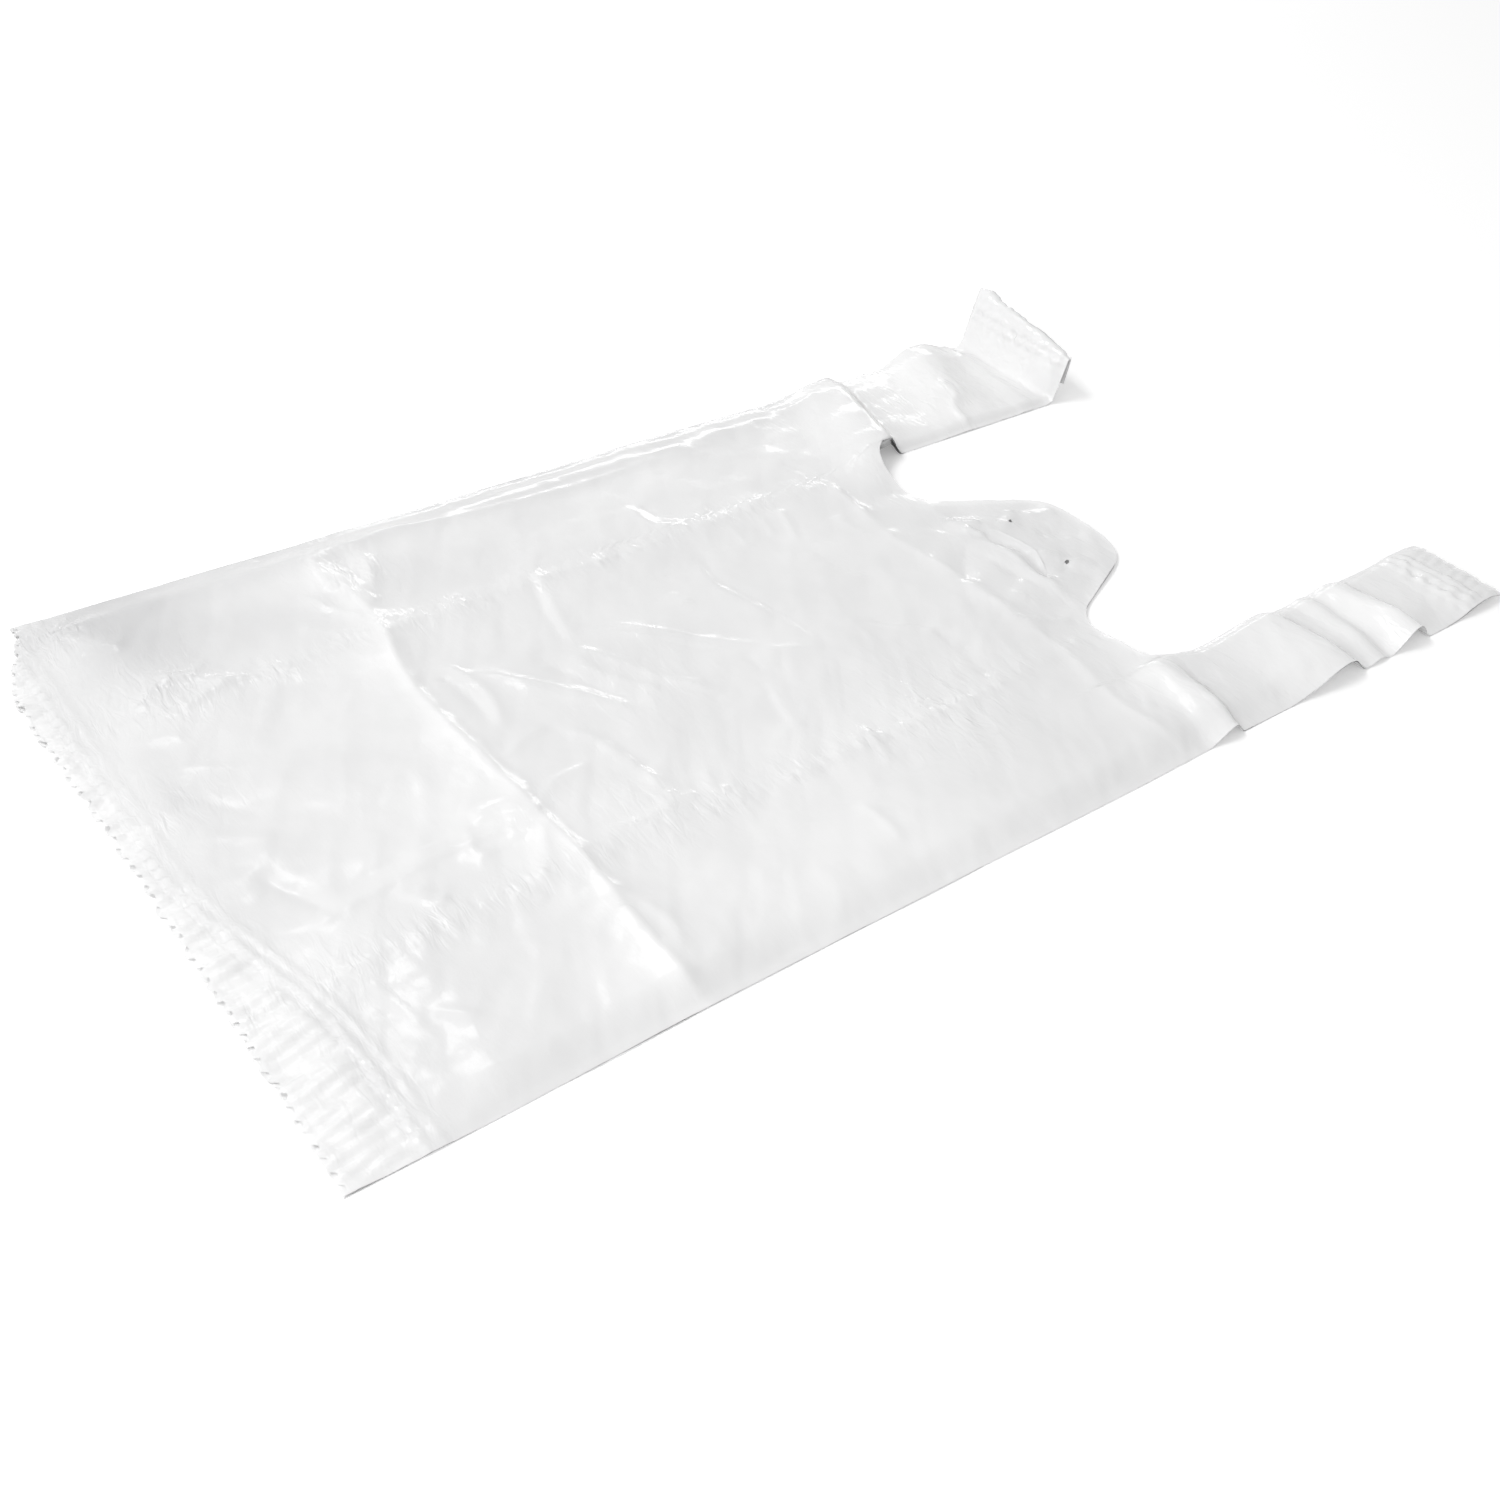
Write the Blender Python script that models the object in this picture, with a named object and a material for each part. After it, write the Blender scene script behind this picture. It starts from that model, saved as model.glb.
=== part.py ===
# Vest carrier bag of thin film, lying flat as it leaves the maker.
# A gusseted tube is welded across its bottom and its top, and one die cut through every layer
# leaves two handles, a mouth and a hanging tab. It is modelled as one folded and welded film.
# Frame: x across the bag, y from the bottom edge towards the handles, z up, in metres.

import math

import bmesh
import bpy
from mathutils import Vector
from mathutils.geometry import delaunay_2d_cdt

# The bag as it is cut
bag_width = 0.280            # between the two outer side folds
bag_length = 0.530           # bottom cut edge to the handle tops
mouth_height = 0.360         # bottom cut edge to the mouth
handle_width = 0.055
gusset_depth = 0.070         # how far each side is tucked in
notch_round = 0.014          # corner between a handle and the mouth
cut_shift = 0.010            # how far the die cut sits off the centre line, towards the near side

# The hanging tab on the mouth
tab_base_width = 0.094
tab_top_width = 0.050
tab_reach = 0.052            # tab tip beyond the mouth
tab_round = 0.020
tab_root_round = 0.018
pin_spacing = 0.034          # between the two hanging holes
pin_inset = 0.028            # tab tip to the hole centres
pin_radius = 0.0016
pin_weld_radius = 0.0034     # layers melted together round a hole
slit_length = 0.042          # tear-off slit under the holes
slit_width = 0.0009
slit_below_pins = 0.014
slit_bow = 0.0035

# Film and welds; the film is thicker than the real 0.018 mm so that it can be a solid
film = 0.0004
weld_gap = 0.00012           # between layers where they run into a weld
fold_lip = 0.0009            # width over which a fold joins its two layers
bottom_seal = 0.009          # cut edge to the inside of the bottom weld
handle_seal = 0.011          # cut edge to the inside of a handle's weld
tooth_pitch = 0.0045         # serrated knife
tooth_depth = 0.0016

# How the layers lie
panel_loft = 0.0024          # underside to top where there are two layers
gusset_loft = 0.0040         # underside to top where there are four layers
handle_loft = 0.0036
tab_loft = 0.0014
step_width = 0.016           # from the two-layer middle up to the gusset
weld_run = 0.022             # over which the layers close towards a weld

# Creases of the top film: crest points (across, up from the bottom edge), height, run on each side
folded_crease = {"crest": ((-0.139, 0.125), (-0.055, 0.116), (0.040, 0.117), (0.139, 0.119)),
                 "height": 0.0014, "before": 0.012, "after": 0.009}
upper_crease = {"crest": ((-0.139, 0.346), (-0.098, 0.332), (-0.020, 0.332), (0.052, 0.339), (0.139, 0.335)),
                "height": 0.0012, "before": 0.011, "after": 0.009}
panel_creases = (folded_crease, upper_crease)
slanting_wrinkle = {"from": (-0.038, 0.186), "to": (0.020, 0.264), "height": 0.0011, "half_width": 0.010}
side_wrinkle = {"from": (-0.030, 0.130), "to": (0.012, 0.172), "height": 0.0009, "half_width": 0.009}
panel_wrinkles = (slanting_wrinkle, side_wrinkle)

# Waves of the handles: place up the bag and height at the cut edge, the same at the side fold, run on each side
near_handle_waves = (
    {"cut": (0.366, 0.0012), "side": (0.357, 0.0060), "before": 0.016, "after": 0.011},
    {"cut": (0.422, 0.0036), "side": (0.424, 0.0090), "before": 0.034, "after": 0.016},
    {"cut": (0.467, 0.0024), "side": (0.468, 0.0092), "before": 0.018, "after": 0.014},
    {"cut": (0.514, 0.0016), "side": (0.516, 0.0042), "before": 0.022, "after": 0.022})
far_handle_waves = (
    {"cut": (0.371, 0.0092), "side": (0.389, 0.0052), "before": 0.034, "after": 0.013},
    {"cut": (0.424, 0.0008), "side": (0.444, 0.0086), "before": 0.022, "after": 0.024})
wave_entry = 0.026           # over which a wave fades in beside the cut edge
wave_underside = 0.70        # share of a wave that the lowest layer follows

# The far handle's end stands up and rolls over
flap_length = 0.057          # handle top to the crease that it stands on
flap_angle = math.radians(72)
flap_fold_radius = 0.0038
flap_rise = 0.025
roll_angle = math.radians(176)
roll_radius = 0.0029

net_spacing = 0.0155         # size of the flat net's triangles
net_clearance = 0.0052       # least distance from a free net point to a drawn line
line_overrun = 0.008         # how far a drawn line runs past the outline
bend_step = math.radians(26)
arc_steps = 6

half_width = bag_width / 2
near_inside = half_width - handle_width + cut_shift
far_inside = cut_shift - half_width + handle_width
gusset_inside = half_width - gusset_depth
flap_start = bag_length - flap_length
pin_height = mouth_height + tab_reach - pin_inset

# Film layers between eight levels, lowest first: 0, 2, 4 and 6 are film, the others are gaps
two_layers = {0, 6}
four_layers = {0, 2, 4, 6}
outer_fold = {0, 1, 2, 4, 5, 6}
inner_fold = {0, 2, 3, 4, 6}
welded = {0, 1, 2, 3, 4, 5, 6}
level_count = 8


def smooth(share):
    share = min(max(share, 0.0), 1.0)
    return share * share * (3 - 2 * share)


def bump(offset, before, after):
    reach = before if offset < 0 else after
    return 0.5 + 0.5 * math.cos(math.pi * min(abs(offset) / reach, 1.0))


def crest_height(crest, x):
    for (x0, y0), (x1, y1) in zip(crest, crest[1:]):
        if x <= x1:
            return y0 + (y1 - y0) * max(x - x0, 0.0) / (x1 - x0)
    return crest[-1][1]


def wrinkle_offset(point, wrinkle):
    start, end = Vector(wrinkle["from"]), Vector(wrinkle["to"])
    along = end - start
    share = min(max((point - start).dot(along) / along.length_squared, 0.0), 1.0)
    fade = 1 - abs(2 * share - 1) ** 3
    return (point - start - along * share).length, fade


def wave_place(wave, share, part):
    return wave["cut"][part] + (wave["side"][part] - wave["cut"][part]) * share


def handle_wave(x, y):
    cut_edge, waves = (near_inside, near_handle_waves) if x > 0 else (-far_inside, far_handle_waves)
    inward = smooth((abs(x) - cut_edge + wave_entry) / wave_entry)
    share = min(max((abs(x) - cut_edge) / (half_width - cut_edge), 0.0), 1.0)
    height = 0.0
    for wave in waves:
        offset = y - wave_place(wave, share, 0)
        height += wave_place(wave, share, 1) * bump(offset, wave["before"], wave["after"])
    if x < 0:
        height *= smooth((flap_start - y) / flap_fold_radius / 2)
    return height * inward


def loft(x, y):
    # Thickness of the whole pile of layers at a place
    on_gusset = smooth((abs(x) - gusset_inside + step_width) / step_width)
    height = panel_loft + (gusset_loft - panel_loft) * on_gusset
    above_mouth = smooth((y - mouth_height + step_width) / step_width)
    if abs(x) > gusset_inside:
        height += (handle_loft - height) * above_mouth
    else:
        target = max(tab_loft, handle_loft * on_gusset)
        height += (target - height) * above_mouth
    if y < mouth_height:
        for crease in panel_creases:
            offset = y - crest_height(crease["crest"], x)
            height += crease["height"] * bump(offset, crease["before"], crease["after"])
        for wrinkle in panel_wrinkles:
            distance, fade = wrinkle_offset(Vector((x, y)), wrinkle)
            height += wrinkle["height"] * fade * bump(distance, wrinkle["half_width"], wrinkle["half_width"])
    height += handle_wave(x, y) * (1 - wave_underside)
    from_weld = y - bottom_seal
    if abs(x) > gusset_inside:
        from_weld = min(from_weld, bag_length - handle_seal - y)
    weld_loft = 4 * film + 3 * weld_gap
    return weld_loft + (height - weld_loft) * smooth(from_weld / weld_run)


def flap_sections():
    fold = flap_fold_radius * flap_angle
    roll = roll_radius * roll_angle
    rest = max(flap_length - fold - flap_rise - roll, 0.0)
    return ((fold, flap_angle), (flap_rise, 0.0), (roll, -roll_angle), (rest, 0.0))


def stand_up(x, y, z):
    # Bends the far handle's end without stretching it
    run = y - flap_start
    if x > far_inside + notch_round or run <= 0:
        return Vector((x, y, z))
    middle = handle_loft / 2
    place, heading = Vector((flap_start, middle)), 0.0
    for length, turn in flap_sections():
        part = min(run, length)
        if turn:
            radius = length / turn
            ahead = heading + part / radius
            place += radius * Vector((math.sin(ahead) - math.sin(heading), math.cos(heading) - math.cos(ahead)))
            heading = ahead
        else:
            place += part * Vector((math.cos(heading), math.sin(heading)))
        run -= part
    place += (z - middle) * Vector((-math.sin(heading), math.cos(heading)))
    return Vector((x, place.x, place.y))


def level_points(x, y):
    # The eight levels of the pile over one point of the net
    under = handle_wave(x, y) * wave_underside
    height = loft(x, y)
    gap = (height - 4 * film) / 3
    heights = [0.0, film, film + gap, 2 * film + gap, 2 * (film + gap), 3 * film + 2 * gap, height - film, height]
    return [stand_up(x, y, under + level) for level in heights]


def teeth(start, end):
    # Serrated cut from one tip to the last, the teeth's valleys on the left
    along = end - start
    count = max(round(along.length / tooth_pitch), 1)
    inward = Vector((-along.y, along.x)).normalized() * tooth_depth
    points = []
    for index in range(count):
        points.append(start + along * (index / count))
        points.append(start + along * ((index + 0.5) / count) + inward)
    return points


def rounded(before, corner, after, radius):
    towards, away = (before - corner).normalized(), (after - corner).normalized()
    half_angle = towards.angle(away) / 2
    reach = min(radius / math.tan(half_angle), 0.48 * (before - corner).length, 0.48 * (after - corner).length)
    start, end = corner + towards * reach, corner + away * reach
    points = []
    for step in range(arc_steps + 1):
        share = step / arc_steps
        points.append(start * (1 - share) ** 2 + corner * 2 * share * (1 - share) + end * share ** 2)
    return points


def divided(start, end, spacing=net_spacing):
    count = max(round((end - start).length / spacing), 1)
    return [start + (end - start) * (index / count) for index in range(count)]


def die_cut_outline():
    # Anticlockwise from the far bottom corner
    corners = {
        "far_bottom": Vector((-half_width, 0)), "near_bottom": Vector((half_width, 0)),
        "near_top": Vector((half_width, bag_length)), "near_inner_top": Vector((near_inside, bag_length)),
        "far_top": Vector((-half_width, bag_length)), "far_inner_top": Vector((far_inside, bag_length))}
    tab_base, tab_top, tip = tab_base_width / 2, tab_top_width / 2, mouth_height + tab_reach
    cut = [Vector((near_inside, bag_length)), Vector((near_inside, mouth_height)),
           Vector((cut_shift + tab_base, mouth_height)), Vector((cut_shift + tab_top, tip)),
           Vector((cut_shift - tab_top, tip)), Vector((cut_shift - tab_base, mouth_height)),
           Vector((far_inside, mouth_height)), Vector((far_inside, bag_length))]
    radii = (notch_round, tab_root_round, tab_round, tab_round, tab_root_round, notch_round)
    outline = teeth(corners["far_bottom"], corners["near_bottom"])
    outline += divided(corners["near_bottom"], corners["near_top"])
    outline += teeth(corners["near_top"], corners["near_inner_top"])
    last = corners["near_inner_top"]
    for index, radius in enumerate(radii, start=1):
        arc = rounded(cut[index - 1], cut[index], cut[index + 1], radius)
        outline += divided(last, arc[0])
        outline += arc[:-1]
        last = arc[-1]
    outline += divided(last, corners["far_inner_top"])
    outline += teeth(corners["far_inner_top"], corners["far_top"])
    outline += divided(corners["far_top"], corners["far_bottom"])
    return outline


def circle(centre, radius, sides=8):
    turns = (2 * math.pi * side / sides for side in range(sides))
    return [centre + radius * Vector((math.cos(turn), math.sin(turn))) for turn in turns]


def pin_centres():
    return [Vector((cut_shift + side * pin_spacing / 2, pin_height)) for side in (-1, 1)]


def slit_outline():
    lower, upper = [], []
    steps = 8
    for step in range(steps + 1):
        share = 2 * step / steps - 1
        x = cut_shift + share * slit_length / 2
        y = pin_height - slit_below_pins + slit_bow * (1 - share * share)
        width = slit_width * (0.4 + 0.6 * math.cos(share * math.pi / 2))
        lower.append(Vector((x, y - width / 2)))
        upper.append(Vector((x, y + width / 2)))
    return lower + upper[::-1]


def drawn_lines():
    # Folds, welds, crease crests and bends that the net has to follow
    past = line_overrun
    lines = []
    for side, cut_edge in ((-1, far_inside), (1, near_inside)):
        lip, inside = side * (half_width - fold_lip), side * gusset_inside
        lines.append([Vector((lip, -past)), Vector((lip, bag_length + past))])
        for x in (inside, inside + side * fold_lip):
            lines.append([Vector((x, -past)), Vector((x, mouth_height + past))])
        seal = bag_length - handle_seal
        lines.append([Vector((cut_edge - side * past, seal)), Vector((side * (half_width + past), seal))])
    lines.append([Vector((-half_width - past, bottom_seal)), Vector((half_width + past, bottom_seal))])
    for crease in panel_creases:
        for shift in (-crease["before"], 0.0, crease["after"]):
            lines.append([Vector((x, y + shift)) for x, y in crease["crest"]])
    for wrinkle in panel_wrinkles:
        lines.append([Vector(wrinkle["from"]), Vector(wrinkle["to"])])
    lines += wave_lines(near_handle_waves, near_inside, half_width, bag_length - handle_seal - past)
    lines += wave_lines(far_handle_waves, far_inside, -half_width, flap_start - past)
    for run in bend_rows():
        y = flap_start + run
        lines.append([Vector((-half_width - past, y)), Vector((far_inside + past, y))])
    return lines


def wave_lines(waves, cut_edge, side_fold, last):
    # The crest of each wave and the foot behind it, from beside the notch's round corner to the side fold
    lines = []
    start = cut_edge + math.copysign(notch_round, side_fold)
    share = (start - cut_edge) / (side_fold - cut_edge)
    for wave in waves:
        for shift in (-wave["before"] / 2, 0.0, wave["after"]):
            line = [Vector((start, wave_place(wave, share, 0) + shift)),
                    Vector((side_fold, wave_place(wave, 1.0, 0) + shift))]
            if mouth_height < line[0].y < last and mouth_height < line[1].y < last:
                lines.append(line)
    return lines


def bend_rows():
    rows, run = [], 0.0
    for length, turn in flap_sections():
        steps = max(math.ceil(abs(turn) / bend_step), 1)
        if turn:
            rows += [run + length * step / steps for step in range(steps + 1)]
        run += length
    return [run for run in rows if run < flap_length - handle_seal / 4]


def inside(point, polygon):
    odd = False
    for (x0, y0), (x1, y1) in zip(polygon, polygon[1:] + polygon[:1]):
        if (y0 > point.y) != (y1 > point.y) and point.x < x0 + (point.y - y0) * (x1 - x0) / (y1 - y0):
            odd = not odd
    return odd


def clear_of(point, segments, clearance):
    for start, along in segments:
        share = min(max((point - start).dot(along) / along.length_squared, 0.0), 1.0)
        if (point - start - along * share).length < clearance:
            return False
    return True


def flat_net():
    # Triangles of the die-cut shape, all layers at once, with their corner points
    outline = die_cut_outline()
    holes = [circle(centre, pin_radius) for centre in pin_centres()] + [slit_outline()]
    rings = [circle(centre, pin_weld_radius) for centre in pin_centres()]
    points, edges = [], []

    def draw(path, closed):
        first = len(points)
        points.extend(path)
        edges.extend((first + index, first + index + 1) for index in range(len(path) - 1))
        if closed:
            edges.append((first + len(path) - 1, first))

    for loop in [outline] + holes + rings:
        draw(loop, True)
    for line in drawn_lines():
        path = []
        for start, end in zip(line, line[1:]):
            path += divided(start, end)
        draw(path + [line[-1]], False)
    segments = [(points[a], points[b] - points[a]) for a, b in edges]
    row_height = net_spacing * math.sqrt(3) / 2
    for row in range(int(bag_length / row_height) + 1):
        for column in range(int(bag_width / net_spacing) + 2):
            shift = 0.5 * (row % 2)
            free = Vector((-half_width + (column + shift) * net_spacing, (row + 0.5) * row_height))
            if inside(free, outline) and clear_of(free, segments, net_clearance):
                points.append(free)
    corners, _, faces, _, _, _ = delaunay_2d_cdt(points, edges, [], 0, 1e-6)
    cells = []
    for face in faces:
        centre = sum((corners[index] for index in face), Vector((0, 0))) / 3
        if inside(centre, outline) and not any(inside(centre, hole) for hole in holes):
            cells.append((tuple(face), layers_at(centre)))
    return corners, cells


def layers_at(point):
    across = abs(point.x)
    if point.y < bottom_seal or point.y > bag_length - handle_seal:
        return welded
    if any((point - centre).length < pin_weld_radius for centre in pin_centres()):
        return welded
    if across > half_width - fold_lip:
        return outer_fold
    if gusset_inside < across < gusset_inside + fold_lip:
        return inner_fold
    return four_layers if across > gusset_inside else two_layers


def runs_of(slabs):
    # Unbroken runs of slabs, as their lowest and highest level
    runs = []
    for slab in sorted(slabs):
        if runs and runs[-1][1] == slab:
            runs[-1][1] = slab + 1
        else:
            runs.append([slab, slab + 1])
    return runs


def film_faces(cells):
    # Level surfaces of every cell, then the walls where a cell has film and its neighbour has none
    surfaces, walls, used = [], [], {}
    neighbour = {}
    for face, slabs in cells:
        for a, b in zip(face, face[1:] + face[:1]):
            neighbour[a, b] = slabs
    for face, slabs in cells:
        for low, high in runs_of(slabs):
            surfaces.append([(corner, low) for corner in reversed(face)])
            surfaces.append([(corner, high) for corner in face])
            for corner in face:
                used.setdefault(corner, set()).update((low, high))
        for a, b in zip(face, face[1:] + face[:1]):
            for low, high in runs_of(slabs - neighbour.get((b, a), set())):
                walls.append((a, b, low, high))
                for corner in (a, b):
                    used.setdefault(corner, set()).update((low, high))
    for a, b, low, high in walls:
        left = [level for level in sorted(used[a]) if low <= level <= high]
        right = [level for level in sorted(used[b]) if low <= level <= high]
        surfaces += wall_triangles(a, b, left, right)
    return surfaces


def wall_triangles(a, b, left, right):
    triangles = []
    i = j = 0
    while i < len(left) - 1 or j < len(right) - 1:
        if j == len(right) - 1 or (i < len(left) - 1 and left[i + 1] <= right[j + 1]):
            triangles.append([(a, left[i]), (b, right[j]), (a, left[i + 1])])
            i += 1
        else:
            triangles.append([(a, left[i]), (b, right[j]), (b, right[j + 1])])
            j += 1
    return triangles


def film_material():
    material = bpy.data.materials.new("white_film")
    material.use_nodes = True
    shader = material.node_tree.nodes["Principled BSDF"]
    shader.inputs["Base Color"].default_value = (0.90, 0.90, 0.91, 1.0)
    shader.inputs["Roughness"].default_value = 0.32
    shader.inputs["Metallic"].default_value = 0.0
    shader.inputs["Alpha"].default_value = 0.88
    return material


def carrier_bag():
    corners, cells = flat_net()
    net = bmesh.new()
    made = {}
    heights = {}
    for polygon in film_faces(cells):
        loop = []
        for corner, level in polygon:
            if (corner, level) not in made:
                if corner not in heights:
                    heights[corner] = level_points(*corners[corner])
                made[corner, level] = net.verts.new(heights[corner][level])
            loop.append(made[corner, level])
        net.faces.new(loop)
    mesh = bpy.data.meshes.new("carrier_bag")
    net.to_mesh(mesh)
    net.free()
    middle = Vector((0, bag_length / 2, 0))
    for vertex in mesh.vertices:
        vertex.co -= middle
    mesh.shade_smooth()
    mesh.set_sharp_from_angle(angle=math.radians(40))
    mesh.materials.append(film_material())
    bag = bpy.data.objects.new("carrier_bag", mesh)
    bpy.context.collection.objects.link(bag)
    return bag


for thing in list(bpy.data.objects):
    bpy.data.objects.remove(thing)
carrier_bag()
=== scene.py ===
import math

import bpy
import numpy as np
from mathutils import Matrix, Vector


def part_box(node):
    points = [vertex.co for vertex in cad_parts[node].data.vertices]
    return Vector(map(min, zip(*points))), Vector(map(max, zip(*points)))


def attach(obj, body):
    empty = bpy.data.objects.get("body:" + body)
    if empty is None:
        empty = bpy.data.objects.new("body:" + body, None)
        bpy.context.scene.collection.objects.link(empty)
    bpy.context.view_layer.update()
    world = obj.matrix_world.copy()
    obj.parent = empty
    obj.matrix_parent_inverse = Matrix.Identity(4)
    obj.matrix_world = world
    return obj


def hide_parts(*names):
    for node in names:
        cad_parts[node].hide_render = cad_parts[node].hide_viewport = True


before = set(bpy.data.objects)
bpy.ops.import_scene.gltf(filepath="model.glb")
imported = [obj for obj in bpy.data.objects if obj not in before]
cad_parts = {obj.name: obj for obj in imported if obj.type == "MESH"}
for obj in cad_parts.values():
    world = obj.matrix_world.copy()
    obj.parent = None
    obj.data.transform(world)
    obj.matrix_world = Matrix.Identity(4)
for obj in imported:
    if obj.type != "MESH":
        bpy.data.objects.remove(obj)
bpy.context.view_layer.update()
bagNode = "carrier_bag"
bagLow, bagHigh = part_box(bagNode)
mm = 0.001

# The cut of the bag, in mm. Across is counted from its centre line, along from its bottom edge.
cut = {
    "width": (bagHigh[0] - bagLow[0]) / mm,
    "length": (bagHigh[1] - bagLow[1]) / mm,
    "mouth": 360,
    "handle": 55,          # width of a handle
    "gusset": 70,          # how far a side is tucked in
    "notchRound": 14,
    "tabBase": 94,
    "tabTop": 46,
    "tabReach": 52,
    "tabRound": 24,
    "tabRootRound": 18,
    "shift": 10,           # how far the die cut sits off the centre line
    "pinSpacing": 34,
    "pinInset": 28,        # tab tip to the hanging holes
    "pinRadius": 0.85,
    "pinRim": (0.15, 2.6, 1.8),  # raised film round a hole: height, distance, width
    "pinPucker": (0.2, 5, 7),  # and puckered: height, number, reach
    "slitBelow": 10.5,     # hanging holes to the tear-off slit
    "slitLength": 36,
    "slitBow": 5,
    "slitGap": 0.12,
    "slitDraw": 9,         # how far from it the rows are bent
    "slitLift": (0.75, 0.5, 0.25),  # of the rows up to it
    "slitDrop": 0.1,
}
half = cut["width"] / 2
handleIn = half - cut["handle"]
nearIn, farIn = handleIn + cut["shift"], cut["shift"] - handleIn
tuckIn = half - cut["gusset"]
pinHeight = cut["mouth"] + cut["tabReach"] - cut["pinInset"]
notchTop = cut["mouth"] + cut["notchRound"]

# The film's net: how finely each layer is divided
net = {
    "step": 1.25,          # of the front film
    "hiddenStep": 2.6,     # of the layers inside and below
    "bodyRows": 296,
    "handleRows": 122,
    "rollSteps": 4,        # round a side fold
    "toothDepth": 1.8,
    "toothFade": 30,       # rows over which the toothed bottom edge evens out
    "edgeWaver": 0.6,
    "toothColumns": 2,     # columns from a tooth's tip to its root
}


def smooth(share):
    share = np.clip(share, 0, 1)
    return share * share * (3 - 2 * share)


def bump(offset, before, after):
    reach = np.where(offset < 0, before, after)
    return 0.5 + 0.5 * np.cos(np.pi * np.clip(np.abs(offset) / reach, 0, 1))


def curvePoints(points, steps=6):
    # A smooth line through a few points
    points = [np.array(p, float) for p in points]
    ends = [2 * points[0] - points[1]] + points + [2 * points[-1] - points[-2]]
    line = []
    for a, b, c, d in zip(ends, ends[1:], ends[2:], ends[3:]):
        for t in np.arange(steps) / steps:
            line.append(0.5 * (2 * b + (c - a) * t + (2 * a - 5 * b + 4 * c - d) * t * t
                               + (3 * b - a - 3 * c + d) * t ** 3))
    return np.array(line + [points[-1]])


def crease(x, y, points, height, rightRun, leftRun, edge=0.5, fade=0.2):
    # A sharp crest along a line; a run is how far the film takes to come down on that side of it
    cutOff = 6
    line = curvePoints(points) if len(points) > 2 else np.array(points, float)
    reach = cutOff * max(rightRun, leftRun)
    low, high = line.min(0) - reach, line.max(0) + reach
    inside = (x > low[0]) & (x < high[0]) & (y > low[1]) & (y < high[1])
    px, py = x[inside], y[inside]
    nearest = np.full(px.shape, 1e9)
    side, place = np.zeros(px.shape), np.zeros(px.shape)
    lengths = np.linalg.norm(np.diff(line, axis=0), axis=1)
    total, gone = lengths.sum(), 0.0
    for (ax, ay), (bx, by), length in zip(line[:-1], line[1:], lengths):
        dx, dy = (bx - ax) / length, (by - ay) / length
        along = np.clip((px - ax) * dx + (py - ay) * dy, 0, length)
        away = np.hypot(px - ax - along * dx, py - ay - along * dy)
        closer = away < nearest
        nearest = np.where(closer, away, nearest)
        side = np.where(closer, dx * (py - ay) - dy * (px - ax), side)
        place = np.where(closer, (gone + along) / total, place)
        gone += length
    run = np.where(side > 0, leftRun, rightRun)
    crest = np.exp(-(np.sqrt(nearest ** 2 + edge ** 2) - edge) / run) - np.exp(-cutOff)
    ends = smooth(place / fade) * smooth((1 - place) / fade) if fade else 1.0
    height = height * np.maximum(crest, 0) * ends
    whole = np.zeros(x.shape)
    whole[inside] = height
    return whole


# Creases that run on to the edges of the bag, in mm: height, run on the right and left of the line, the line
longCreases = {
    "foldedAcross": (0.9, 17, 12, (
        (-160, 124), (-107, 123), (-74, 123), (-51, 118), (-10, 116), (50, 119), (114, 118),
        (160, 117))),
    "foldedEdge": (1.15, 5.4, 2.6, (
        (-107, 124), (-93, 123), (-74, 123), (-51, 118), (-33, 116), (-10, 116), (13, 118), (50, 119),
        (77, 119), (114, 118), (160, 117))),
    "foldedValley": (-0.25, 3, 5, (
        (-60, 127), (-33, 121), (-10, 121), (20, 124), (60, 124), (110, 123), (160, 122))),
    "upperAcross": (0.55, 12, 8, (
        (-160, 343), (-131, 339), (-99, 329), (-66, 333), (-20, 331), (13, 336), (60, 337), (107, 332),
        (160, 335))),
    "upperEdge": (0.42, 2.0, 3.2, (
        (-39, 331), (-20, 331), (-7, 333), (13, 336), (51, 337), (71, 337), (88, 334), (107, 331),
        (119, 333), (160, 335))),
    "farGussetLine": (0.26, 7, 3.2, (
        (-72, 20), (-69, 90), (-70, 150), (-69, 198), (-67, 222), (-68, 258), (-72, 289), (-71, 312),
        (-67, 334))),
    "nearGussetLine": (0.26, 2.2, 7, (
        (71, 20), (69, 80), (66, 121), (69, 141), (72, 161), (73, 183), (74, 245), (73, 300),
        (71, 338))),
}
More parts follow.
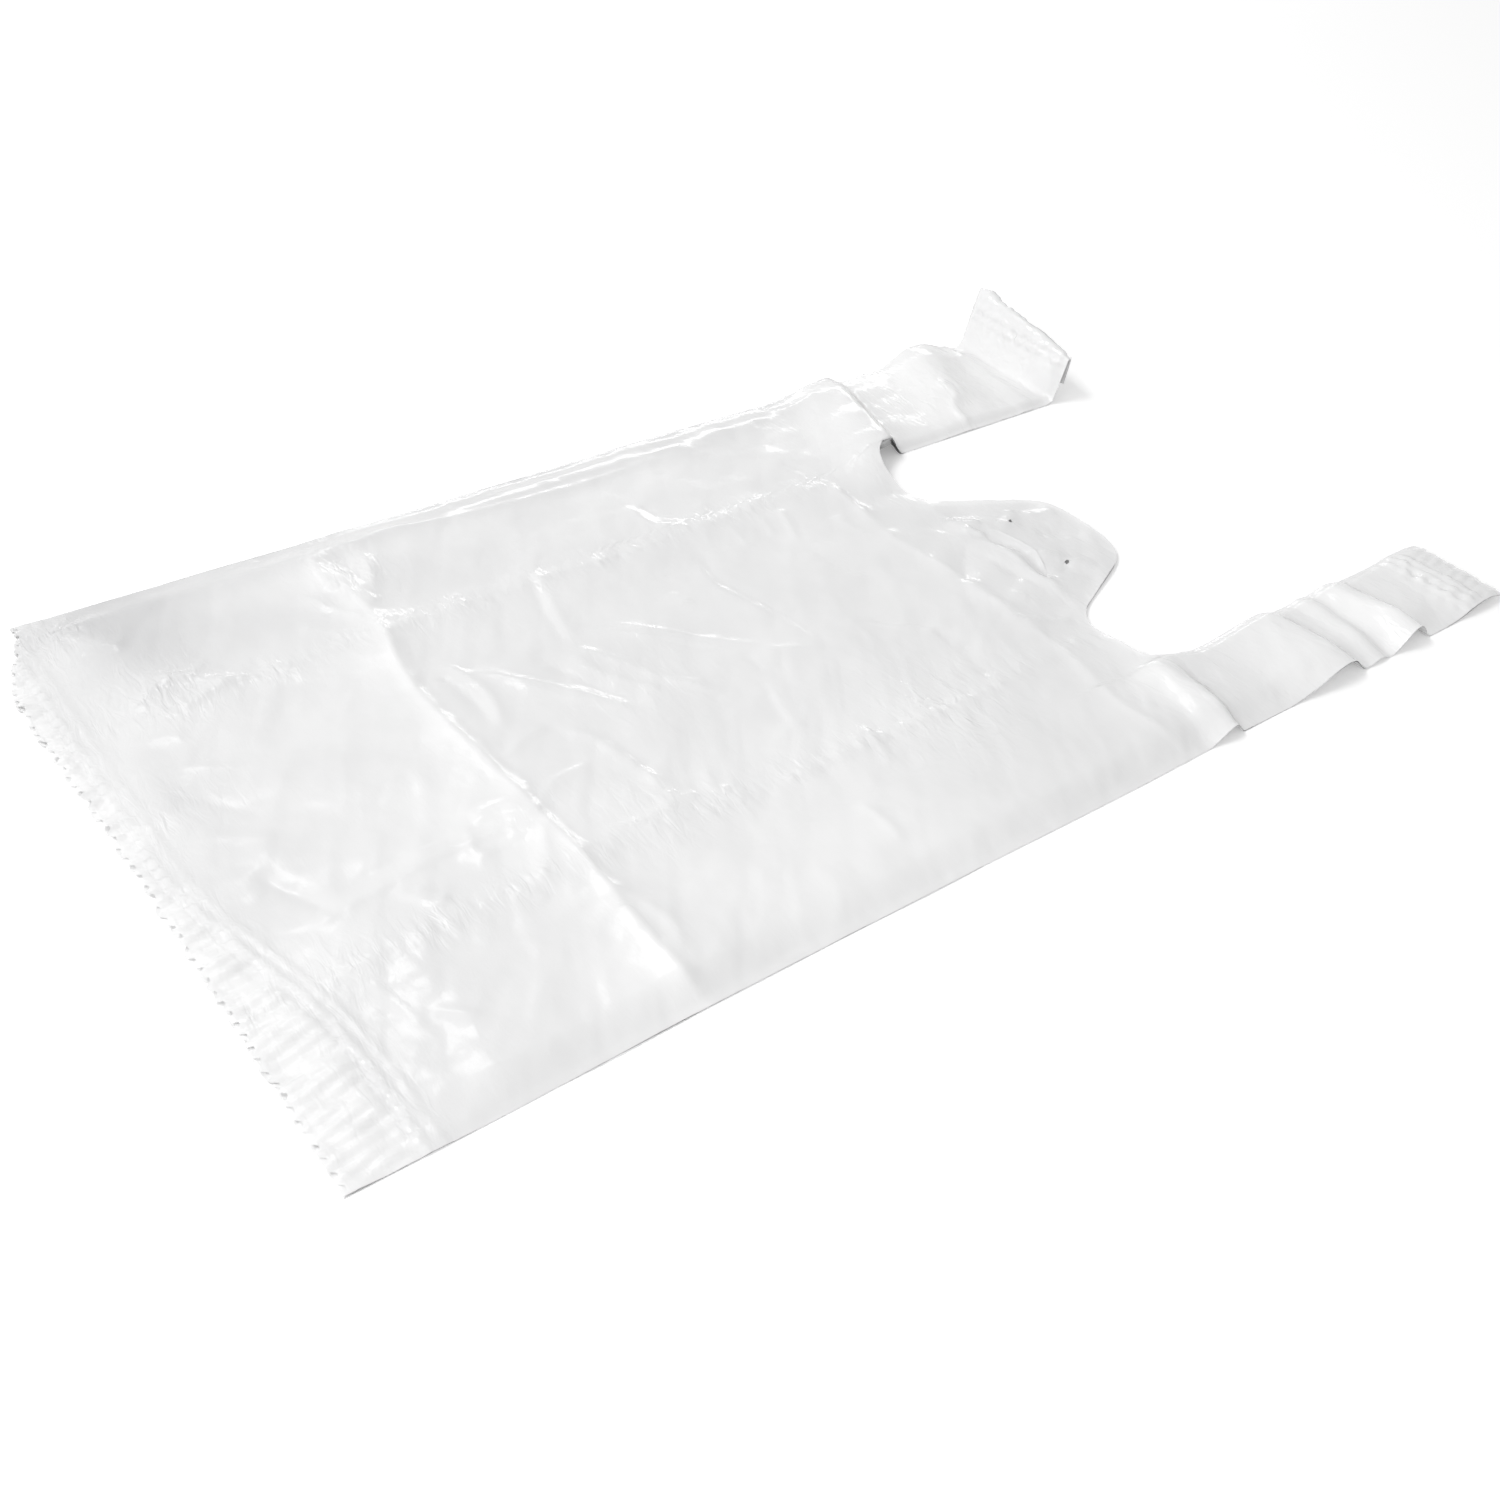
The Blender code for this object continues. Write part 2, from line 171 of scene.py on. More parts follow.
# Shorter creases that fade out at both ends
shortCreases = {
    "knotHead": (0.9, 4, 3, ((-128, 122), (-118, 119), (-106, 118), (-98, 121))),
    "knotBack": (-0.7, 3, 4, ((-126, 132), (-112, 130), (-98, 131), (-84, 128))),
    "knotRidge": (0.9, 3, 3, ((-122, 138), (-108, 137), (-96, 131), (-82, 125))),
    "knotSpur": (0.45, 3, 3, ((-106, 105), (-91, 112), (-76, 121))),
    "knotSpurTwo": (0.35, 3, 3, ((-88, 97), (-77, 106), (-67, 119))),
    "edgeBeads": (0.5, 2, 3, ((-128, 128), (-126, 140), (-129, 152), (-127, 165))),
    "gussetCrossing": (-0.35, 2.8, 2.2, ((-79, 188), (-59, 182), (-42, 178), (-28, 176))),
    "gussetTwin": (0.35, 2.2, 3.5, ((-77, 191), (-58, 186), (-41, 182), (-25, 180))),
    "crossingUp": (0.5, 4, 3, ((-31, 176), (-13, 186), (4, 196), (13, 204), (20, 210))),
    "crossingLow": (0.4, 3, 2, ((-30, 175), (-12, 176), (5, 187), (12, 195))),
    "crossingHollow": (-0.5, 5, 4, ((-34, 162), (-14, 167), (3, 175), (16, 186))),
    "hollowRidge": (0.42, 3.6, 5, ((-38, 141), (-19, 149), (-6, 158), (8, 170), (20, 179))),
    "arcOuter": (0.55, 2.2, 2.0, ((-44, 131), (-29, 136), (-14, 136), (3, 130))),
    "arcInner": (-0.5, 2.0, 2.2, ((-40, 127), (-25, 129), (-12, 130), (-2, 127))),
    "longSlant": (0.5, 3.4, 5, ((-36, 184), (-24, 199), (-6, 217), (8, 232), (22, 262))),
    "longSlantTwin": (-0.3, 2, 2.4, ((-20, 203), (-2, 219), (15, 241))),
    "upperCurve": (-0.45, 3, 4, (
        (-64, 257), (-37, 250), (-27, 252), (-14, 256), (0, 260), (11, 261), (22, 262))),
    "upperCurveCrest": (0.38, 3, 3.4, ((-52, 250), (-34, 246), (-20, 249), (-2, 255))),
    "slantFoot": (0.35, 3, 3, ((5, 194), (15, 204), (24, 208))),
    "paleHollow": (-0.7, 7, 5, ((5, 230), (18, 229), (29, 225), (38, 221), (55, 217))),
    "tinyTwo": (0.3, 1.8, 2.2, ((-38, 229), (-27, 230))),
    "facetThree": (0.3, 2.2, 3, ((16, 156), (42, 160), (64, 158), (68, 167))),
    "facetRise": (0.35, 2.4, 3, ((15, 122), (8, 135), (6, 146))),
    "facetRidge": (0.35, 2.2, 2.6, ((6, 146), (20, 155), (33, 157), (48, 161), (63, 167))),
    "facetTwin": (-0.3, 2.2, 3.4, ((17, 160), (32, 162), (47, 163))),
    "facetKnot": (0.35, 2.4, 2.2, ((39, 122), (33, 131), (31, 147))),
    "gussetKnot": (0.45, 2, 2.2, ((56, 160), (62, 163), (63, 170))),
    "sBend": (0.45, 3.4, 5, ((8, 227), (24, 227), (41, 223), (57, 218))),
    "upperDash": (0.25, 2.2, 3, ((10, 278), (24, 278), (33, 276))),
    "nearStroke": (0.35, 2.2, 2.6, ((65, 239), (76, 238), (87, 234))),
    "nearStrokeTwo": (0.35, 2.2, 2.6, ((95, 212), (108, 214), (120, 212))),
    "hollowOver": (0.4, 3.2, 2.8, ((81, 120), (97, 125), (110, 127), (123, 120))),
    "hollowUnder": (-0.3, 3.8, 3.8, ((86, 119), (104, 121), (118, 119))),
    "lowCorner": (0.4, 2.4, 3, ((40, 70), (39, 83), (37, 96), (38, 108), (45, 118))),
    "lowCornerTwo": (0.3, 2.2, 2.4, ((53, 89), (50, 103), (47, 116))),
    "lowCornerThree": (0.45, 3, 3.6, ((45, 117), (63, 110), (74, 100))),
    "lowCornerFour": (0.45, 2.4, 2.4, ((37, 96), (47, 92), (53, 96))),
    "gussetHook": (0.4, 2.2, 2.2, ((53, 179), (64, 175), (67, 183))),
    "gussetFoot": (0.4, 2.4, 2.4, ((62, 129), (65, 143), (65, 160))),
    "twinSlant": (0.32, 2, 2.2, ((-37, 194), (-20, 209), (-3, 226), (9, 239))),
    "crossLong": (0.35, 2.2, 2.4, ((-37, 134), (-16, 154), (6, 172), (17, 179))),
    "lowLong": (0.62, 4, 2.4, ((46, 118), (45, 100), (43, 84), (46, 63), (49, 45), (53, 32))),
    "lowLongHollow": (-0.4, 3, 5, ((40, 96), (36, 78), (39, 60), (42, 46))),
    "lowFacetRidge": (0.6, 4, 3, ((36, 97), (34, 110), (47, 118))),
    "lowFacetEdge": (0.4, 3, 4, ((49, 118), (63, 107), (76, 101))),
    "lowSmall": (0.4, 2.2, 2.4, ((49, 63), (61, 70), (62, 77))),
    "lowSmallTwo": (0.3, 2, 2.4, ((70, 94), (79, 101))),
    "lowSmallThree": (0.4, 2.2, 2.4, ((52, 67), (63, 75))),
    "cornerPatchTop": (0.75, 8, 2.2, ((52, 35), (66, 33), (73, 37), (82, 40), (109, 46))),
    "cornerPatchFoot": (-0.35, 2.2, 5, ((70, 25), (82, 29), (92, 35), (108, 42))),
    "cornerDash": (0.4, 2, 2, ((97, 49), (108, 60))),
    "lowTriangle": (-0.6, 3, 4, ((18, 29), (34, 37), (49, 44))),
    "lowTriangleSide": (0.5, 2.4, 3, ((49, 44), (48, 34), (45, 24))),
    "weldFoldOne": (0.35, 3, 2.4, ((-42, 13), (-36, 34), (-28, 50))),
    "weldFoldTwo": (-0.3, 3, 3, ((-32, 18), (-18, 32), (0, 46))),
    "weldFoldThree": (0.3, 3, 3, ((-6, 16), (0, 30), (10, 44))),
    "weldFoldFour": (0.25, 2.4, 3, ((-58, 14), (-55, 30), (-50, 40))),
    "farCrinkleOne": (0.7, 2.6, 2.2, ((-84, 22), (-72, 28), (-82, 46), (-73, 60), (-68, 74))),
    "farCrinkleTwo": (0.55, 2.2, 2.4, ((-63, 42), (-72, 64))),
    "farCrinkleThree": (0.5, 2.2, 2.4, ((-90, 36), (-80, 50), (-86, 62))),
    "farCornerFold": (0.9, 4, 6, ((-104, 12), (-112, 30), (-104, 42))),
    "nearCornerFold": (0.9, 3, 4, ((106, 30), (120, 37), (133, 33), (142, 33))),
    "nearCornerTwin": (0.6, 3, 4, ((112, 24), (122, 20), (134, 22))),
    "farUpperKnot": (0.5, 2.4, 2.4, ((-97, 247), (-82, 248), (-74, 254), (-70, 263))),
    "farUpperKnotTwo": (-0.4, 2, 2.4, ((-94, 253), (-84, 254), (-76, 260))),
    "acrossDip": (-0.4, 2.4, 3, ((-93, 324), (-85, 328), (-75, 331), (-60, 333))),
    "acrossDash": (0.6, 2.2, 1.8, ((-68, 333), (-54, 332), (-39, 331))),
    "acrossStart": (-0.4, 3, 4, ((-131, 340), (-113, 333), (-99, 329))),
    "mouthCurve": (-0.35, 2.4, 3, ((-40, 297), (-20, 297), (-5, 308))),
    "mouthSmall": (0.35, 2, 2.2, ((-49, 318), (-33, 322), (-26, 325))),
    "gussetNickOne": (0.35, 1.6, 1.8, ((-64, 302), (-39, 294))),
    "gussetNickTwo": (0.3, 1.6, 1.8, ((-63, 292), (-47, 288))),
    "gussetNickThree": (0.3, 1.6, 1.8, ((-64, 276), (-46, 274))),
    "tabNeckFar": (0.5, 3, 2.4, ((-38, 364), (-17, 362), (-8, 367))),
    "tabNeckFold": (0.85, 4, 1.8, ((-8, 358), (1, 364), (11, 366), (25, 366), (41, 366), (57, 368))),
    "tabNeckHollow": (-0.6, 4, 3, ((-2, 353), (13, 357), (30, 360), (45, 362))),
    "neckTriangle": (-0.7, 4, 5, ((-6, 357), (-1, 352), (8, 343), (20, 334))),
    "neckTriangleFoot": (0.5, 3, 3, ((14, 338), (24, 334), (33, 336), (44, 339))),
    "neckLine": (0.5, 3, 2.4, ((29, 343), (42, 353), (57, 366))),
    "neckDash": (0.65, 2, 2, ((40, 332), (47, 338), (52, 345), (58, 357))),
    "belowNeck": (-0.55, 4, 4, ((13, 283), (23, 292), (30, 302), (38, 305), (47, 306))),
    "belowNeckTwo": (-0.4, 3, 4, ((32, 304), (44, 305), (51, 312))),
    "belowNeckThree": (-0.4, 3, 3, ((44, 307), (58, 302), (69, 302))),
    "handleFacetStart": (0.5, 3, 3, ((89, 361), (106, 357), (122, 353), (137, 348))),
    "handleFacetSmall": (0.35, 2, 2.4, ((98, 347), (108, 343), (115, 337))),
    "tabDash": (0.8, 1.8, 1.8, ((-23, 359), (-17, 364), (-12, 372))),
    "tabDashTwo": (0.8, 1.8, 1.8, ((-13, 360), (-9, 364), (-4, 368))),
    "tabCrease": (0.5, 2.2, 3, ((16, 375), (24, 384), (36, 392))),
    "tabCreaseTwo": (-0.45, 2.4, 3, ((27, 377), (36, 384), (44, 386))),
    "tabCreaseThree": (0.55, 2, 2, ((-14, 391), (-9, 385), (-6, 378))),
    "tabCreaseFour": (0.6, 2, 3, ((-11, 392), (-6, 397), (-4, 408))),
    "tabCreaseFive": (-0.6, 4, 5, ((4, 386), (10, 396), (17, 406))),
    "tabBright": (0.6, 2, 3, ((11, 372), (18, 378), (24, 387))),
    "tabFoot": (0.5, 2, 3.4, ((27, 384), (35, 389), (43, 391))),
    "tabNeckValley": (-0.6, 3, 2.4, ((-4, 368), (10, 372), (24, 373), (35, 373))),
    "rootRidge": (0.55, 6, 2, ((92, 362), (104, 361), (116, 360), (137, 359))),
    "plateauRidge": (0.45, 6, 2, ((92, 422), (105, 425), (119, 429), (137, 435))),
    "crestRidge": (0.5, 5, 2, ((96, 464), (110, 464), (121, 465), (138, 470))),
    "glossLong": (0.5, 2.0, 2.6, ((-131, 148), (-122, 190), (-119, 235), (-121, 284))),
    "glossThin": (0.35, 1.8, 2.0, ((-133, 194), (-130, 235), (-134, 282))),
    "glossHandle": (0.6, 3, 3, ((-134, 348), (-128, 362), (-131, 378))),
    "flapWeld": (0.6, 2, 3, ((-139, 490), (-124, 492), (-108, 489), (-92, 492), (-74, 490))),
    "flapWeldFold": (-0.5, 2.4, 2.4, ((-130, 481), (-116, 490), (-104, 487))),
    "flapWeldTwin": (0.5, 2, 2, ((-112, 494), (-97, 485), (-84, 490))),
    "handleCrinkle": (0.9, 2, 2, ((-112, 431), (-98, 433), (-88, 425), (-74, 424))),
    "handleCrinkleTwo": (0.4, 2, 2, ((-116, 437), (-104, 440), (-92, 436))),
}


def undulation(x, y, wavelengths, seed):
    # Slow unevenness of film that lies loose: a few crossing waves
    draw = np.random.default_rng(seed)
    total = np.zeros(x.shape)
    for wavelength in wavelengths:
        turn, phase = draw.uniform(0, np.pi), draw.uniform(0, 2 * np.pi)
        total += np.sin((x * np.cos(turn) + y * np.sin(turn)) * 2 * np.pi / wavelength + phase)
    return total / len(wavelengths)


# Crossing waves that make things uneven: their lengths in mm, and the seed of their turns
uneven = {
    "front": ((150, 118, 92, 74, 61, 50), 5),
    "mouth": ((47, 31, 21, 15), 8),
    "ruffle": ((19, 11.3, 7.1, 5.6, 4.7), 21),
    "crumple": ((17, 12, 8.6, 6.8, 5.3), 33),
    "lipEdge": ((14, 7.3, 5.1, 4.2), 17),
    "gathers": ((11, 7.3, 5.7, 4.6), 41),
    "bottomEdge": ((23, 17, 11), 4),
    "crinkledPatches": ((90, 52, 31, 19), 14),
}
sideWaves = (210, 133, 87, 59)

# How high the pile of layers stands, in mm
pile = {
    "panel": 2.2,
    "gusset": 3.2,
    "handle": 2.6,
    "tab": 2.0,
    "sideFold": 0.34,      # where the front film turns under
    "cutShut": 0.95,       # layers together at a handle's cut edge, and the run up from it
    "cutRun": 5,
    "foldShut": 0.6,       # and at a side fold
    "sideClose": 5,
    "weld": 0.75,
    "step": 26,            # from the middle up to the gusset
    "sideRun": 15,
    "weldRun": 27,
    "farWeld": 12,         # the bottom weld, from the bottom edge
    "nearWeld": 30,
    "nearHandleWeld": 20,  # from a handle's top
    "farHandleWeld": 33,
    "flare": 0.8,          # how far the loose edge beyond a weld opens, and over what run
    "flareRun": 14,
    "ruffle": 1.5,         # ripples of that edge
    "crumple": 0.6,        # its small uneven folds
    "lip": 0.9,            # ledge of pressed film along a weld, how wide it is, and how it starts and ends
    "lipWidth": 6.5,
    "lipWaver": 1.1,
    "lipRise": 1.6,
    "lipRun": 22,
    "seam": 0.3,           # pressed lines of a weld, each with its distance past it, width and share
    "seamLines": ((0, 0.9, 1.0), (5, 0.8, 0.7)),
    "handleGathers": 1.5,  # small folds at a handle's weld
    "creased": 1.45,       # strength of the shorter creases, and how narrow they are
    "narrow": 0.95,
    "dashes": (200, 304, 5.2),  # short strokes on the near tucked fold, along the bag: from, to, spacing
    "dashRise": 0.42,
    "dashRun": 1.2,
    "dashAcross": (69, 78),
    "gather": 2.2,         # the far bottom corner is drawn together in pleats
    "gatherPlace": (-126, 22),
    "gatherReach": 12,
    "pleats": 7,
    "swell": 0.8,          # slow unevenness of the front
    "ripple": 1.5,         # along the mouth
    "foldRadius": 0.24,
    "gussetApart": 0.16,   # share of the pile between the tucked layers in a handle
    "wobble": 0.8,         # of the side folds
    "cornerPull": 13,      # how far the far bottom corner is drawn in
    "backFollows": 0.93,   # how much of a handle's waves the back film takes part in
    "waveRun": 26,         # from a handle's cut edge inwards
}
# Waves of the handles: place and height at the cut edge, the same at the side fold, run before and after
nearWaves = ((366, 1.2, 357, 6.0, 15, 7), (422, 3.6, 424, 9.0, 34, 14), (450, 1.3, 446, 1.8, 8, 7),
             (467, 2.4, 468, 9.5, 15, 12), (516, 1.6, 518, 4.5, 24, 22))
farWaves = ((371, 9.6, 389, 5.2, 34, 11), (424, 0.4, 444, 9.0, 22, 32), (462, 0.6, 470, 1.4, 9, 7))
flap = {"length": 57, "angle": math.radians(77), "foldRadius": 3.8, "farRise": 26, "nearRise": 18,
        "rollAngle": math.radians(176), "rollRadius": 1.9, "farHang": 16, "nearHang": 12,
        "curlAngle": math.radians(178), "curlRadius": 0.75}


def handleWave(x, y):
    height = np.zeros(x.shape)
    for sign, inner, waves in ((1, nearIn, nearWaves), (-1, -farIn, farWaves)):
        share = np.clip((sign * x - inner) / (half - inner), -0.4, 1)
        inward = smooth((sign * x - inner + pile["waveRun"]) / pile["waveRun"])
        total = np.zeros(x.shape)
        for place, rise, sidePlace, sideRise, before, after in waves:
            offset = y - place - (sidePlace - place) * share
            total += (rise + (sideRise - rise) * np.maximum(share, 0)) * bump(offset, before, after)
        if sign < 0:
            total *= smooth((cut["length"] - flap["length"] - y) / 8)
        height += total * inward
    return height


def pileTop(x, y):
    # Height of the front film over the floor
    wide = np.abs(x)
    onGusset = smooth((wide - tuckIn + pile["step"]) / pile["step"])
    height = pile["panel"] + (pile["gusset"] - pile["panel"]) * onGusset
    aboveMouth = smooth((y - cut["mouth"] + 40) / 40)
    target = np.where(wide > tuckIn, pile["handle"], np.maximum(pile["tab"], pile["handle"] * onGusset))
    height = height + (target - height) * aboveMouth
    relief = pile["swell"] * undulation(x, y, *uneven["front"]) * smooth((410 - y) / 60)
    for rise, right, left, points in longCreases.values():
        onBody = smooth((cut["mouth"] + 10 - y) / 18)
        relief = relief + crease(x, y, points, rise, right, left, fade=0) * onBody
    for rise, right, left, points in shortCreases.values():
        relief = relief + crease(x, y, points, pile["creased"] * rise, pile["narrow"] * right,
                                 pile["narrow"] * left, edge=0.6)
    for along in np.arange(*pile["dashes"]):
        start, end = pile["dashAcross"]
        relief = relief + crease(x, y, ((start, along), (end, along + 2)), pile["dashRise"], pile["dashRun"],
                                 pile["dashRun"], edge=0.3, fade=0.45)
    cornerX, cornerY = x - pile["gatherPlace"][0], y - pile["gatherPlace"][1]
    fromCorner, turn = np.hypot(cornerX, cornerY), np.arctan2(cornerY, cornerX)
    pleats = 0.7 + 0.4 * np.cos(pile["pleats"] * turn + 1)
    relief = relief + pile["gather"] * np.exp(-(fromCorner / pile["gatherReach"]) ** 2) * pleats
    ripple = undulation(x, y * 0.2, *uneven["mouth"]) * smooth((y - cut["mouth"] + 16) / 18)
    inMouth = smooth((half - wide - 20) / 20) * smooth((cut["mouth"] + 30 - y) / 20)
    relief = relief + pile["ripple"] * ripple * inMouth
    height = np.maximum(height + relief, pile["sideFold"])
    atSide = smooth((half - wide) / pile["sideRun"])
    height = pile["sideFold"] + (height - pile["sideFold"]) * atSide + handleWave(x, y)
    height = weldPinch(x, y, height)
    fromCut = np.where(x > 0, x - nearIn, farIn - x)
    atCut = (1 - smooth(fromCut / pile["cutRun"])) * smooth((fromCut + 9) / 8) * smooth((y - notchTop) / 12)
    atFold = 1 - smooth((half - wide) / pile["sideClose"])
    bottom = pileBottom(x, y)
    return bottom + (height - bottom) * (1 - pile["cutShut"] * atCut) * (1 - pile["foldShut"] * atFold)


def weldPlace(x):
    # How far the bottom weld runs from the bottom edge
    return pile["farWeld"] + (pile["nearWeld"] - pile["farWeld"]) * smooth(x / 105)


def weldPinch(x, y, height):
    # Layers close up at the welds and open again beyond them
    fromWeld = y - weldPlace(x)
    onHandle = (np.abs(x) > tuckIn) & (y > cut["length"] / 2)
    fromTop = cut["length"] - np.where(x > 0, pile["nearHandleWeld"], pile["farHandleWeld"]) - y
    fromWeld = np.where(onHandle, fromTop, fromWeld)
    raised = np.where(onHandle, pileBottom(x, y), 0)
    seam = pile["weld"] + raised
    closed = seam + (height - seam) * smooth(fromWeld / pile["weldRun"])
    ruffle = undulation(x + 0.22 * y, y * 0, *uneven["ruffle"]) * pile["ruffle"]
    opened = seam + (pile["flare"] + ruffle) * smooth(-fromWeld / pile["flareRun"])
    crumpled = undulation(x, y * 0.7, *uneven["crumple"]) * pile["crumple"]
    opened = opened + crumpled * smooth(-(fromWeld + pile["lipWidth"]) / 3)
    wavering = pile["lipWaver"] * undulation(x, y * 0.1, *uneven["lipEdge"])
    lip = pile["lip"] * smooth((fromWeld + pile["lipWidth"] + wavering) / pile["lipRise"])
    lip = lip * (1 - smooth(fromWeld / pile["lipRun"]))
    opened, closed = opened + lip, closed + lip
    seamLine = pile["seam"] * sum(share * np.exp(-((fromWeld + past) / width) ** 2)
                                  for past, width, share in pile["seamLines"])
    gathers = 0.35 + undulation(x + 0.3 * y, y, *uneven["gathers"])
    seamLine = seamLine + onHandle * pile["handleGathers"] * gathers * np.exp(-((fromWeld - 3) / 5) ** 2)
    return np.where(fromWeld > 0, np.maximum(closed, seam), np.maximum(opened, raised + 0.4)) + seamLine


def pileBottom(x, y):
    return 0.12 + pile["backFollows"] * handleWave(x, y)


def foldRadius(x, y):
    return np.clip((pileTop(x, y) - pileBottom(x, y)) / 9, 0.05, pile["foldRadius"])


def gussetHeights(x, y):
    # The two tucked layers: together at the inner fold, next to the panels at the side folds
    top, bottom, radius = pileTop(x, y), pileBottom(x, y), foldRadius(x, y)
    outward = smooth((np.abs(x) - tuckIn) / cut["gusset"])
    middle = (top + bottom) / 2
    apart = radius + pile["gussetApart"] * (top - bottom) * smooth((y - cut["mouth"]) / 20)
    upper = (middle + apart) * (1 - outward) + (top - 2 * radius) * outward
    lower = (middle - apart) * (1 - outward) + (bottom + 2 * radius) * outward
    return upper, lower


def standUp(x, y, z):
    # The end of the far handle stands up and rolls over, without stretching
    middle = pile["handle"] / 2
    start = cut["length"] - flap["length"]
    run = np.where(x < farIn + 4, y - start, -1.0)
    fold = flap["foldRadius"] * flap["angle"]
    rise = np.interp(x, (-half, farIn), (flap["farRise"], flap["nearRise"]))
    roll = flap["rollRadius"] * flap["rollAngle"]
    hang = np.interp(x, (-half, farIn), (flap["farHang"], flap["nearHang"]))
    curl = flap["curlRadius"] * flap["curlAngle"]
    rest = 1e3
    sections = ((fold, flap["angle"]), (rise, 0), (roll, -flap["rollAngle"]), (hang, 0),
                (curl, -flap["curlAngle"]), (rest, 0))
    placeY, placeZ = np.full(x.shape, float(start)), np.full(x.shape, middle)
    heading, left = np.zeros(x.shape), np.maximum(run, 0)
    for length, turn in sections:
        part = np.minimum(left, length)
        if turn:
            radius = length / turn
            ahead = heading + part / radius
            placeY = placeY + radius * (np.sin(ahead) - np.sin(heading))
            placeZ = placeZ + radius * (np.cos(heading) - np.cos(ahead))
            heading = ahead
        else:
            placeY = placeY + part * np.cos(heading)
            placeZ = placeZ + part * np.sin(heading)
        left = left - part
    bentY = placeY - (z - middle) * np.sin(heading)
    bentZ = placeZ + (z - middle) * np.cos(heading)
    return np.where(run > 0, bentY, y), np.where(run > 0, bentZ, z)


def roundedCorner(before, corner, after, radius, steps=10):
    before, corner, after = (np.array(p, float) for p in (before, corner, after))
    towards = (before - corner) / np.linalg.norm(before - corner)
    away = (after - corner) / np.linalg.norm(after - corner)
    halfAngle = math.acos(float(np.clip(towards @ away, -1, 1))) / 2
    reach = min(radius / math.tan(halfAngle), 0.48 * np.linalg.norm(before - corner),
                0.48 * np.linalg.norm(after - corner))
    start, end = corner + towards * reach, corner + away * reach
    shares = np.linspace(0, 1, steps)[:, None]
    return start * (1 - shares) ** 2 + corner * 2 * shares * (1 - shares) + end * shares ** 2


def mouthLine():
    # The die cut between the handles, from near to far
    base, top, tip = cut["tabBase"] / 2, cut["tabTop"] / 2, cut["mouth"] + cut["tabReach"]
    corners = [(handleIn, cut["length"]), (handleIn, cut["mouth"]), (base, cut["mouth"]), (top, tip)]
    corners += [(-across, along) for across, along in corners[::-1]]
    radii = [cut["notchRound"], cut["tabRootRound"], cut["tabRound"]]
    radii += radii[::-1]
    corners = [(across + cut["shift"], along) for across, along in corners]
    arcs = [roundedCorner(*corners[i:i + 3], radius) for i, radius in enumerate(radii)]
    return np.concatenate(arcs)


def columnPlaces(step):
    def strip(start, end):
        return np.linspace(start, end, 2 * round((end - start) / step / 2) + 1)

    return np.concatenate((strip(-half, farIn), strip(farIn, nearIn)[1:], strip(nearIn, half)[1:]))


def netRows(x):
    # Places along the bag of every row of the net, for each column
    line = mouthLine()
    order = np.argsort(line[:, 0], kind="stable")
    top = np.interp(x, line[order, 0], line[order, 1])
    top = np.where((x >= nearIn - 1e-6) | (x <= farIn + 1e-6), notchTop, top)
    teeth = net["toothDepth"] * (np.arange(len(x)) // net["toothColumns"] % 2)
    tooth = teeth + net["edgeWaver"] * undulation(x, x * 0, *uneven["bottomEdge"])
    tooth = tooth + pile["cornerPull"] * smooth((-x - 96) / 44) - 2 * smooth(-x / 90)
    shares = np.arange(net["bodyRows"] + 1)[:, None] / net["bodyRows"]
    fade = np.clip(1 - shares * net["bodyRows"] / net["toothFade"], 0, 1)
    body = top[None, :] * shares + tooth[None, :] * fade
    ends = np.arange(1, net["handleRows"] + 1)[:, None] / net["handleRows"]
    ends = notchTop + (cut["length"] - notchTop) * ends
    handles = ends - teeth[None, :] * np.clip(1 - (cut["length"] - ends) / 5, 0, 1)
    return np.concatenate((body, handles))


def sheetMesh(name, x, y, z, keep, tied=None):
    # A net of quads from three arrays of rows and columns; keep says which quads are film. Where a point is
    # tied, it is the same as the one in the row before
    rows, columns = x.shape
    index = np.arange(rows * columns).reshape(rows, columns)
    if tied is not None:
        index[1:][tied[1:]] = index[:-1][tied[1:]]
    quads = np.stack((index[:-1, :-1], index[:-1, 1:], index[1:, 1:], index[1:, :-1]), -1)[keep]
    used, flat = np.unique(quads, return_inverse=True)
    points = np.stack((x.ravel(), y.ravel(), z.ravel()), -1)[used]
    mesh = bpy.data.meshes.new(name)
    mesh.from_pydata(points.tolist(), [], flat.reshape(quads.shape).tolist())
    return mesh


def sideShift(x, y, seed):
    # The side folds are not ruler straight
    pull = pile["wobble"] * (undulation(y * 0, y, sideWaves, seed) - 0.4) * smooth((np.abs(x) - 90) / 50)
    return x + np.sign(x) * pull


def openPins(x, y, z, keep):
    # Draws the net round each hanging hole and leaves the hole open
    for side in (-1, 1):
        centreX, centreY = cut["shift"] + side * cut["pinSpacing"] / 2, pinHeight
        away = np.hypot(x - centreX, y - centreY)
        turn = np.arctan2(y - centreY, x - centreX)
        height, distance, width = cut["pinRim"]
        z += height * np.exp(-((away - distance) / width) ** 2)
        height, count, reach = cut["pinPucker"]
        z += height * np.cos(count * turn + side) * np.exp(-away / reach)
        row, column = np.unravel_index(away.argmin(), away.shape)
        keep[row - 1:row + 1, column - 1:column + 1] = False
        for stepY, stepX in ((-1, -1), (-1, 0), (-1, 1), (0, 1), (1, 1), (1, 0), (1, -1), (0, -1)):
            at = (row + stepY, column + stepX)
            angle = math.atan2(stepY, stepX)
            x[at] = centreX + cut["pinRadius"] * math.cos(angle)
            y[at] = centreY + cut["pinRadius"] * math.sin(angle)
    return x, y, z, keep


